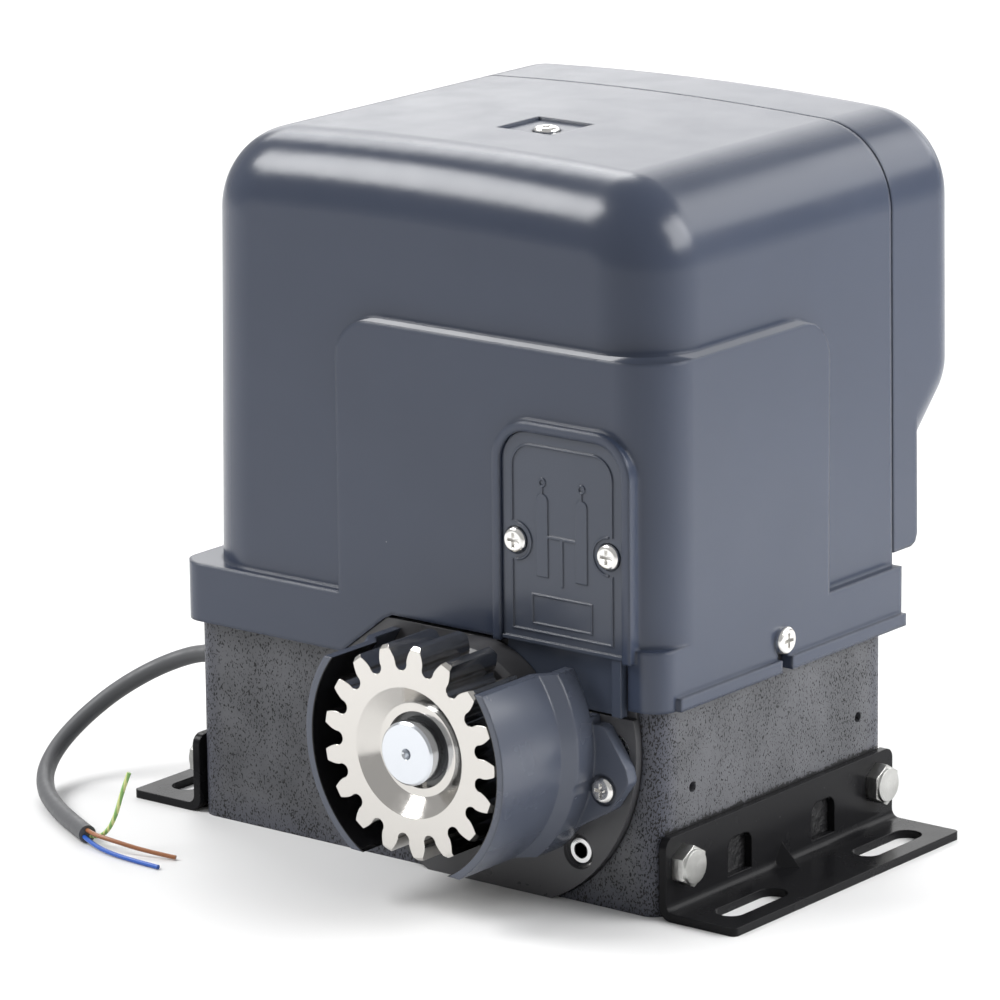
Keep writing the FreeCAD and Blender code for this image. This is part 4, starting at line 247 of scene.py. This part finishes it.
CORD_RADIUS = 0.00325
CORE_RADIUS = 0.0008
gland_low, gland_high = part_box("cable_gland")
gland_middle = (gland_low + gland_high) / 2
cord_exit = Vector((gland_low.x, gland_middle.y, gland_middle.z))
CORD_ROUTE = (
    tuple(cord_exit / MM), (-132.0, -28.0, 47.0), (-149.0, -33.0, 40.5), (-162.0, -43.0, 31.5),
    (-169.5, -55.0, 22.0), (-171.5, -68.0, 13.5), (-167.0, -80.5, 7.6), (-157.0, -91.5, 4.4),
    (-143.5, -101.5, 3.6), (-128.5, -110.5, 3.4), (-112.0, -119.0, 3.3))
BLUE_ROUTE = (
    (-112.5, -120.2, 2.55), (-107.2, -122.9, 2.2), (-97.8, -125.5, 1.3), (-84.0, -126.8, 0.9),
    (-71.5, -127.2, 0.9))
BROWN_ROUTE = (
    (-111.9, -119.05, 4.8), (-106.7, -121.9, 5.0), (-97.0, -122.0, 4.4), (-85.0, -119.2, 2.3),
    (-73.5, -115.6, 1.0))
GREEN_ROUTE = (
    (-111.2, -117.95, 2.6), (-105.9, -119.4, 3.3), (-101.0, -119.4, 7.4), (-98.0, -118.6, 14.0),
    (-96.6, -117.2, 21.3), (-94.6, -115.4, 28.4))
CORE_BLUE = (0.015, 0.09, 0.42)
CORE_BROWN = (0.30, 0.115, 0.045)
CORE_GREEN = (0.22, 0.42, 0.12)
CORE_YELLOW = (0.60, 0.64, 0.26)
STRIPE_SCALE = 160.0

sheath = Surface("cord_sheath", (0.085, 0.087, 0.092), 0.5)
sheath.uneven_gloss(0.004, 0.42, 0.58, detail=4.0)
sheath.grain(0.0007, 0.00003, detail=2.0)
lead = cord_piece("lead_sheath", CORD_ROUTE, CORD_RADIUS, sheath)
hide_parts("power_cord")


def spiral_stripe(surface, first, second):
    """Slanting stripes of a second colour, as on an earth core."""
    wave = surface.nodes.new("ShaderNodeTexWave")
    wave.inputs["Scale"].default_value = STRIPE_SCALE
    surface.links.new(surface.stretched((1.0, 0.4, 1.0)), wave.inputs["Vector"])
    surface.colour(surface.blend(surface.ramp(wave.outputs["Fac"], 0.55, 0.6), first, second))


for name, route, colour in (("blue", BLUE_ROUTE, CORE_BLUE),
                            ("brown", BROWN_ROUTE, CORE_BROWN),
                            ("green_yellow", GREEN_ROUTE, CORE_GREEN)):
    core_pvc = Surface("core_" + name + "_pvc", colour, 0.35)
    core_pvc.uneven_gloss(0.002, 0.28, 0.42)
    core_pvc.grain(0.0005, 0.00001, detail=2.0)
    if name == "green_yellow":
        spiral_stripe(core_pvc, CORE_GREEN, CORE_YELLOW)
    core = cord_piece("core_" + name, route, CORE_RADIUS, core_pvc)
    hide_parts("conductor_" + name)

nylon = Surface("black_nylon", (0.018, 0.018, 0.02), 0.5)
nylon.soft_edges(0.0004)
dress(nylon, "cable_gland")

# ---- base casting ----------------------------------------------------------------
# Die-cast aluminium box that holds the oil bath, sprayed with a grey speckled paint.
# The paint draws back into small upright pits, thickest at the corners, and is
# painted darker and bluish there and along the bottom as shade. A ragged painted
# shadow lines the top of each foot; behind each foot the casting is near-black.
CORNER_BAND = 0.012
SIDE_SKIN = 0.0006
PAINT_LIGHT = (0.075, 0.077, 0.086)
PAINT_DARK = (0.052, 0.054, 0.061)
PAINT_CORNER_SHADE = (0.040, 0.044, 0.066)
PIT_BLACK = (0.005, 0.005, 0.006)
FOOT_SHADOW_BLACK = (0.008, 0.008, 0.009)
BEHIND_FOOT_BLACK = (0.012, 0.012, 0.013)
base_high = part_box("base_casting")[1]
foot_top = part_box("foot_bracket_right")[1].z

paint = Surface("speckled_paint", (0.16, 0.162, 0.175), 0.46)
across, along, up = paint.axes()
off_middle = paint.maths("ABSOLUTE", across)
near_side = paint.ramp(off_middle, base_high.x - CORNER_BAND, base_high.x)
near_end = paint.ramp(paint.maths("ABSOLUTE", along), base_high.y - CORNER_BAND, base_high.y)
near_ground = paint.ramp(up, 0.0, CORNER_BAND, 1.0, 0.0)
# Painted shade: darker, bluish paint near the upright corners and along the bottom; the same mask
# also thickens the pits there.
corner_pits_and_shade = paint.maths("MAXIMUM", paint.maths("MULTIPLY", near_side, near_end),
                     paint.maths("MULTIPLY", near_ground, 0.6))

upright = paint.stretched((1.0, 1.0, 0.6))
patches = paint.noise(0.018)
pitting = paint.maths("ADD", paint.ramp(patches, *NOISE_BAND, 0.345, 0.405),
                      paint.maths("MULTIPLY", corner_pits_and_shade, 0.09))
flecks = paint.noise(0.00055, 1.0, place=upright)
fine_pits = paint.ramp(paint.maths("SUBTRACT", flecks, pitting), -0.03, 0.04)
gap, chance = paint.spots(0.0026, upright)
pit_reach = paint.ramp(chance, 0.5, 1.0, 0.0, 0.2)
large_pits = paint.ramp(paint.maths("SUBTRACT", gap, pit_reach), -0.04, 0.03)
skin = paint.maths("MULTIPLY", fine_pits, large_pits)

on_side = paint.maths("GREATER_THAN", off_middle, base_high.x - SIDE_SKIN)
# Painted shadow: a ragged black line just above the top edge of each foot.
foot_shadow_top = paint.ramp(paint.noise(0.0016, 2.0), 0.35, 0.65, foot_top + 0.0002, foot_top + 0.0019)
foot_shadow = paint.maths("MULTIPLY", on_side, paint.maths("LESS_THAN", up, foot_shadow_top))
# Near-black, rougher casting behind each foot, where the windows show it.
behind_foot = paint.maths("MULTIPLY", on_side, paint.maths("LESS_THAN", up, foot_top - 0.0008))

tone = paint.blend(paint.ramp(patches, 0.35, 0.65), PAINT_LIGHT, PAINT_DARK)
tone = paint.blend(corner_pits_and_shade, tone, PAINT_CORNER_SHADE)
tone = paint.blend(skin, PIT_BLACK, tone)
tone = paint.blend(foot_shadow, tone, FOOT_SHADOW_BLACK)
paint.colour(paint.blend(behind_foot, tone, BEHIND_FOOT_BLACK))
paint.roughness(paint.ramp(skin, 0.0, 1.0, 0.75, 0.4))
paint.soft_edges(0.0008)
paint.bump(skin, 0.00009)
paint.grain(0.004, 0.00008, detail=2.0)
paint.bump(paint.maths("MULTIPLY", behind_foot, paint.noise(0.003, 4.0)), 0.0012)
dress(paint, "base_casting")

# ---- gear train ------------------------------------------------------------------
# Worm cut on the motor's shaft and a cast bronze wheel on the output shaft, on ball
# bearings, under a machined cover with its gasket and screws.
shaft_low, shaft_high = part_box("output_shaft")
OUTPUT_AXIS = tuple((shaft_low + shaft_high) / 2)
worm_low, worm_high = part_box("worm_shaft")
WORM_AXIS = tuple((worm_low + worm_high) / 2)


def turned(name, colour, roughness, spacing, centre, direction="Y"):
    """Machined metal with fine rings left by the lathe."""
    surface = Surface(name, colour, roughness, 1.0)
    surface.uneven_gloss(0.006, roughness * 0.8, roughness * 1.3)
    surface.soft_edges(0.0003)
    surface.bump(surface.stripes(spacing, direction, centre, rings=True), 0.000004)
    return surface


def casting(name, colour, roughness):
    """As-cast or plated metal with a fine grain and a duller skin in patches."""
    surface = Surface(name, colour, roughness, 1.0)
    patches = surface.noise(0.012, 4.0)
    dull = tuple(number * 0.72 for number in colour)
    surface.colour(surface.blend(surface.ramp(patches, 0.35, 0.7), colour, dull))
    surface.roughness(surface.ramp(patches, *NOISE_BAND, roughness * 0.85, roughness * 1.2))
    surface.soft_edges(0.0005)
    surface.grain(0.0008, 0.00005)
    return surface


bronze = turned("cast_bronze", (0.58, 0.34, 0.13), 0.34, 0.0005, OUTPUT_AXIS)
ground_steel = turned("ground_steel", (0.60, 0.60, 0.60), 0.24, 0.0004, OUTPUT_AXIS)
worm_steel = turned("worm_steel", (0.55, 0.55, 0.56), 0.26, 0.0004, WORM_AXIS, "Z")
raw_aluminium = casting("raw_aluminium", (0.62, 0.63, 0.64), 0.42)
zinc = casting("zinc_plate", (0.66, 0.67, 0.68), 0.30)
fibre = Surface("gasket_fibre", (0.16, 0.09, 0.05), 0.85)
fibre.colour(fibre.blend(fibre.noise(0.0012, 4.0), (0.10, 0.06, 0.035), (0.22, 0.13, 0.07)))
fibre.grain(0.0006, 0.00006)
rubber = Surface("seal_rubber", (0.014, 0.014, 0.015), 0.5)
rubber.uneven_gloss(0.003, 0.42, 0.6)
rubber.bump(rubber.stripes(0.0011, "Y", OUTPUT_AXIS, rings=True), 0.00004)
dress(bronze, "worm_wheel")
dress(worm_steel, "worm_shaft", "motor_bearings")
dress(ground_steel, "output_bearings")
dress(raw_aluminium, "gearcase_cover")
dress(fibre, "gearcase_gasket")
dress(zinc, "gearcase_cover_screws")
dress(rubber, "shaft_seal")

# ---- clutch and manual release ---------------------------------------------------
# Hardened dog on the output shaft, moved by a bronze fork that follows the cam
# groove of a chromed spindle. The spindle's hexagon socket shows in the flange.
SOCKET_RADIUS = 0.0029
CHROME = (0.80, 0.80, 0.80)
spindle_low, spindle_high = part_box("release_spindle")
SPINDLE_AXIS = tuple((spindle_low + spindle_high) / 2)

dog_steel = turned("dog_steel", (0.42, 0.42, 0.43), 0.30, 0.0005, OUTPUT_AXIS)
chrome = turned("chromed_spindle", CHROME, 0.12, 0.0005, SPINDLE_AXIS)
# Painted shade: the chrome is coloured near-black inside the hexagon socket.
painted_socket_shade = chrome.maths("LESS_THAN", chrome.off_axis(SPINDLE_AXIS), SOCKET_RADIUS)
chrome.colour(chrome.blend(painted_socket_shade, CHROME, (0.05, 0.05, 0.05)))
dress(dog_steel, "clutch_dog")
dress(bronze, "clutch_fork")
dress(chrome, "release_spindle")

# ---- output flange ---------------------------------------------------------------
# Turned aluminium flange that closes the front of the gear case, painted satin
# black over the faint rings of its turning.
flange_black = Surface("flange_paint", (0.052, 0.052, 0.056), 0.33)
flange_black.uneven_gloss(0.01, 0.26, 0.42, detail=4.0)
flange_black.soft_edges(0.0005)
flange_rings = flange_black.stripes(0.0012, "Y", OUTPUT_AXIS, rings=True, distortion=0.4)
flange_black.bump(flange_rings, 0.000006)
flange_black.grain(0.0016, 0.00002)
dress(flange_black, "output_flange")

# ---- pinion ----------------------------------------------------------------------
# Seventeen-tooth steel pinion with a polished face and a turned dish, keyed to the
# bright shaft and held on it by a retaining ring.
nickel = Surface("polished_nickel", (0.62, 0.60, 0.57), 0.13, 1.0)
nickel.roughness(nickel.ramp(nickel.noise(0.004, 5.0, 0.65), 0.3, 0.75, 0.09, 0.2))
nickel.soft_edges(0.00035)
face_rings = nickel.stripes(0.0007, "Y", OUTPUT_AXIS, rings=True, distortion=0.6)
nickel.bump(face_rings, 0.0000025)
nickel.grain(0.007, 0.00003, detail=2.0)
bright_shaft = turned("bright_shaft", (0.68, 0.705, 0.745), 0.16, 0.0006, OUTPUT_AXIS)
spring_steel = turned("spring_steel", (0.10, 0.10, 0.10), 0.3, 0.0005, OUTPUT_AXIS)
dress(nickel, "output_pinion")
dress(bright_shaft, "output_shaft")
dress(spring_steel, "retaining_ring", "pinion_key")

# ---- hood ------------------------------------------------------------------------
# Two moulded ABS shells, slate grey and glossy, butted at a seam near the back;
# the front one carries the pulled-out panel and the skirt that grips the base.
HOOD_GREY = (0.032, 0.0415, 0.068)
DUST_GREY = (0.20, 0.21, 0.23)
SPECK_SPACING = 0.011
SPECK_REACH = 0.026  # of the spacing
LEDGE_HEIGHT = 0.194
LEDGE_BAND = 0.0015
LEDGE_TURNS_X = (0.086, 0.098)
LEDGE_TURNS_Y = (-0.064, -0.052)
LEVEL = 0.7


def moulded_plastic(name, colour, roughness, edge):
    """Glossy moulded plastic: faint flow marks, uneven gloss and a few specks of dust."""
    surface = Surface(name, colour, roughness)
    deep = tuple(number * 0.94 for number in colour)
    shade = surface.blend(surface.ramp(surface.noise(0.06, 2.0), 0.35, 0.65), deep, colour)
    gap, chance = surface.spots(SPECK_SPACING)
    speck = surface.maths("LESS_THAN", gap, surface.ramp(chance, 0.55, 1.0, 0.0, SPECK_REACH))
    surface.colour(surface.blend(surface.maths("MULTIPLY", speck, 0.5), shade, DUST_GREY))
    surface.uneven_gloss(0.02, roughness * 0.88, roughness * 1.12, detail=4.0)
    surface.soft_edges(edge)
    surface.grain(0.0025, 0.0000008, detail=2.0)
    return surface


def slope_ledge(surface):
    """Leans the level ledge over the panel outwards, so that it takes light as a slope does."""
    facing = surface.nodes.new("ShaderNodeSeparateXYZ")
    geometry = surface.nodes.new("ShaderNodeNewGeometry")
    surface.links.new(geometry.outputs["True Normal"], facing.inputs["Vector"])
    right, back, over = surface.axes((0.0, 0.0, LEDGE_HEIGHT))
    at_height = surface.maths("LESS_THAN", surface.maths("ABSOLUTE", over), LEDGE_BAND)
    level = surface.maths("GREATER_THAN", facing.outputs["Z"], LEVEL)
    lean = surface.nodes.new("ShaderNodeCombineXYZ")
    surface.links.new(surface.ramp(right, *LEDGE_TURNS_X), lean.inputs["X"])
    surface.links.new(surface.ramp(back, *LEDGE_TURNS_Y, -1.0, 0.0), lean.inputs["Y"])
    lean.inputs["Z"].default_value = 1.0
    choice = surface.nodes.new("ShaderNodeMix")
    choice.data_type = "VECTOR"
    vector_a, vector_b = choice.inputs[4], choice.inputs[5]
    surface.links.new(surface.maths("MULTIPLY", at_height, level), choice.inputs["Factor"])
    surface.links.new(surface.normal, vector_a)
    surface.links.new(lean.outputs["Vector"], vector_b)
    unit = surface.nodes.new("ShaderNodeVectorMath")
    unit.operation = "NORMALIZE"
    surface.links.new(choice.outputs[1], unit.inputs[0])
    surface.point(unit.outputs["Vector"])


def screw_metal(name, colour, roughness):
    """Plated screw with a little rub on its head."""
    surface = Surface(name, colour, roughness, 1.0)
    surface.uneven_gloss(0.0012, roughness * 0.7, roughness * 1.5, detail=4.0)
    surface.soft_edges(0.0003)
    surface.grain(0.0015, 0.00003)
    return surface


hood = moulded_plastic("hood_plastic", HOOD_GREY, 0.24, 0.0021)
slope_ledge(hood)
bright_screw = screw_metal("bright_screw", (0.80, 0.79, 0.77), 0.18)
socket_screw = screw_metal("socket_screw", (0.70, 0.70, 0.70), 0.22)
dress(hood, "front_hood", "rear_hood")
dress(bright_screw, "hood_side_screws", "hood_top_screw", "limit_cover_screws", "guard_screws")
dress(socket_screw, "flange_screws")
dress(zinc, "hood_post")

# ---- top inlay -------------------------------------------------------------------
# Thin moulded plate that lies in the pocket on top, a little below the top's
# surface, with a round hole for the head of the screw.
POCKET_MIDDLE = Vector((0.0062, -0.0021))
POCKET_FLOOR = 0.2520
INLAY_HALF = 0.0116
INLAY_HOLE = 0.0052
INLAY_THICKNESS = 0.0010
INLAY_EDGE = 0.0001
HOLE_SIDES = 48
screw_low, screw_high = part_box("hood_top_screw")
screw_middle = (screw_low + screw_high) / 2


def flat_outline(data, points):
    """Closed straight outline in a flat curve."""
    spline = data.splines.new("POLY")
    spline.points.add(len(points) - 1)
    for point, (x, y) in zip(spline.points, points):
        point.co = (x, y, 0.0, 1.0)
    spline.use_cyclic_u = True


plate = bpy.data.curves.new("top_inlay", "CURVE")
plate.dimensions = "2D"
plate.fill_mode = "BOTH"
flat_outline(plate, [(POCKET_MIDDLE.x + side * INLAY_HALF, POCKET_MIDDLE.y + end * INLAY_HALF)
                     for side, end in ((-1, -1), (1, -1), (1, 1), (-1, 1))])
hole_angles = [math.tau * step / HOLE_SIDES for step in range(HOLE_SIDES)]
flat_outline(plate, [(screw_middle.x + INLAY_HOLE * math.cos(angle),
                      screw_middle.y + INLAY_HOLE * math.sin(angle)) for angle in hole_angles])
plate.extrude = INLAY_THICKNESS / 2 - INLAY_EDGE
plate.bevel_depth = INLAY_EDGE
plate.materials.append(hood.material)
inlay = bpy.data.objects.new("top_inlay", plate)
inlay.location = (0.0, 0.0, POCKET_FLOOR + INLAY_THICKNESS / 2)
bpy.context.scene.collection.objects.link(inlay)
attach(inlay, "root")

# ---- limit cover -----------------------------------------------------------------
# Small plate in a raised frame, over the limit sensor in its own housing, held by
# two cross-head screws; its relief is moulded in.
# Painted light: the same slate plastic as the hood, coloured lighter and greyer to stand in for
# light that falls on it.
limit_plastic = moulded_plastic("limit_plastic", (0.044, 0.053, 0.076), 0.22, 0.0006)
dress(limit_plastic, "limit_access_cover", "limit_housing")

# ---- pinion guard ----------------------------------------------------------------
# Moulded half-drum round the pinion with a stepped back and two ears, screwed to
# the flange; its inside is painted near-black as shade.
GUARD_INSIDE = 0.0438
INSIDE_SHADE_BLACK = (0.006, 0.006, 0.007)
# Painted light: the same slate plastic as the hood, coloured lighter and greyer to stand in for
# light that falls on it.
guard = moulded_plastic("guard_plastic", (0.062, 0.071, 0.096), 0.26, 0.0010)
# Painted shade: near-black inside the drum, within the guard's inner radius.
shaded_inside = guard.maths("LESS_THAN", guard.off_axis(OUTPUT_AXIS), GUARD_INSIDE)
guard.colour(guard.blend(shaded_inside, guard.tint, INSIDE_SHADE_BLACK))
dress(guard, "pinion_guard")

# ---- feet ------------------------------------------------------------------------
# Pressed sheet-steel angles with slots, windows and a stiffening dart in the bend,
# stoved black, each held by two zinc-plated hexagon bolts.
stove_black = Surface("stove_black", (0.009, 0.009, 0.010), 0.24)
stove_black.shader.inputs["Specular IOR Level"].default_value = 0.1
stove_black.uneven_gloss(0.012, 0.19, 0.29, detail=4.0)
stove_black.soft_edges(0.0007)
stove_black.grain(0.0022, 0.000009, detail=2.0)
bolt_zinc = casting("bolt_zinc", (0.60, 0.60, 0.58), 0.3)
bolt_zinc.bump(bolt_zinc.noise(0.0035, rough=0.6), 0.00022)
dress(stove_black, "foot_bracket_left", "foot_bracket_right")
dress(bolt_zinc, "bracket_bolts")

# ---- motor -----------------------------------------------------------------------
# Induction motor standing on the gear case: a laminated stator between two cast
# bells, with enamelled windings, a caged rotor and four tie bolts.
laminated = Surface("laminated_steel", (0.30, 0.30, 0.31), 0.4, 1.0)
sheets = laminated.stripes(0.0005, "Z", distortion=0.3)
laminated.colour(laminated.blend(sheets, (0.20, 0.20, 0.21), (0.38, 0.38, 0.39)))
laminated.bump(sheets, 0.00005)
enamel = Surface("enamelled_copper", (0.55, 0.20, 0.06), 0.28, 0.6)
turns = enamel.stripes(0.0008, "DIAGONAL", distortion=1.5)
enamel.colour(enamel.blend(turns, (0.28, 0.08, 0.03), (0.66, 0.28, 0.10)))
enamel.bump(turns, 0.00025)
dress(laminated, "motor_stator", "rotor_core")
dress(enamel, "motor_windings")
dress(raw_aluminium, "motor_lower_bell", "motor_upper_bell")
dress(zinc, "motor_tie_bolts")

# ---- electrics -------------------------------------------------------------------
# Run capacitor in its clamp, mains transformer, the control board on its bracket
# with a row of terminals, and the limit sensor's board.
can = Surface("capacitor_can", (0.72, 0.72, 0.70), 0.35)
can.uneven_gloss(0.01, 0.28, 0.42)
can.soft_edges(0.0006)
can.grain(0.0012, 0.00001, detail=2.0)
varnished = Surface("transformer_core", (0.09, 0.075, 0.06), 0.32, 0.3)
leaves = varnished.stripes(0.0007, "X", distortion=0.2)
varnished.colour(varnished.blend(leaves, (0.05, 0.042, 0.035), (0.13, 0.11, 0.085)))
varnished.bump(leaves, 0.00006)
board = Surface("board_laminate", (0.015, 0.12, 0.05), 0.3)
tracks = board.ramp(board.stripes(0.0026, "X", distortion=6.0), 0.55, 0.62)
board.colour(board.blend(tracks, (0.012, 0.09, 0.04), (0.03, 0.19, 0.08)))
board.bump(tracks, 0.00004)
terminal = Surface("terminal_green", (0.03, 0.30, 0.09), 0.38)
terminal.colour(terminal.blend(terminal.noise(0.004), (0.025, 0.26, 0.075), (0.035, 0.33, 0.10)))
terminal.soft_edges(0.0003)
dress(can, "run_capacitor")
dress(zinc, "capacitor_clamp", "board_bracket")
dress(varnished, "transformer")
dress(board, "control_board", "limit_sensor_board")
dress(terminal, "terminal_block")

# ---- studio ----------------------------------------------------------------------
# Pale floor in a white room. Three soft boxes light the sides, a sheet and a box
# behind are mirrored in the top, and two small ones fill in near the ground.
FLOOR_REACH = 6.0
FLOOR_GREY = (0.74, 0.74, 0.74)
ROOM_BRIGHTNESS = 0.5
WATTS_PER_SQUARE_METRE = 4.0
SUBJECT = Vector((0.0, 0.0, 0.15))
FRONT_GROUND = Vector((-0.26, -0.40, 0.0))

floor_mesh = bpy.data.meshes.new("studio_floor")
floor_mesh.from_pydata([(x * FLOOR_REACH, y * FLOOR_REACH, 0.0)
                        for x, y in ((-1, -1), (1, -1), (1, 1), (-1, 1))], [], [(0, 1, 2, 3)])
floor = bpy.data.objects.new("studio_floor", floor_mesh)
bpy.context.scene.collection.objects.link(floor)
floor.data.materials.append(Surface("studio_floor", FLOOR_GREY, 0.6).material)

world = bpy.data.worlds.new("studio")
bpy.context.scene.world = world
world.use_nodes = True
room = world.node_tree.nodes["Background"]
room.inputs["Color"].default_value = (1.0, 1.0, 1.0, 1.0)
room.inputs["Strength"].default_value = ROOM_BRIGHTNESS


def softbox(name, direction, distance, size, brightness, aim=SUBJECT, mirrored=True):
    """Rectangular soft light, unseen by the camera, that faces a place from a direction."""
    data = bpy.data.lights.new(name, "AREA")
    data.shape = "RECTANGLE"
    data.size, data.size_y = size
    data.energy = WATTS_PER_SQUARE_METRE * data.size * data.size_y * brightness
    light = bpy.data.objects.new(name, data)
    light.location = aim + Vector(direction).normalized() * distance
    light.rotation_euler = (aim - light.location).to_track_quat("-Z", "Y").to_euler()
    light.visible_camera = False
    light.visible_glossy = mirrored
    bpy.context.scene.collection.objects.link(light)


softbox("high_left", (-0.598, 0.469, 0.65), 3.0, (1.6, 1.1), 3.7)
softbox("left_front", (-0.598, -0.40, 0.69), 3.0, (1.5, 1.35), 9.0)
softbox("right", (0.80, 0.28, 0.50), 1.5, (0.9, 0.8), 5.2)
softbox("back_sheet", (-0.35, 1.0, 0.36), 3.4, (4.4, 1.9), 1.1)
softbox("back_right", (0.45, 0.76, 0.47), 2.6, (2.2, 1.1), 2.0)
softbox("low_right", (0.95, 0.45, 0.22), 0.7, (0.5, 0.2), 6.0, mirrored=False)
softbox("front_floor", (-0.1, -0.2, 1.0), 0.3, (0.6, 0.3), 0.7, FRONT_GROUND, mirrored=False)
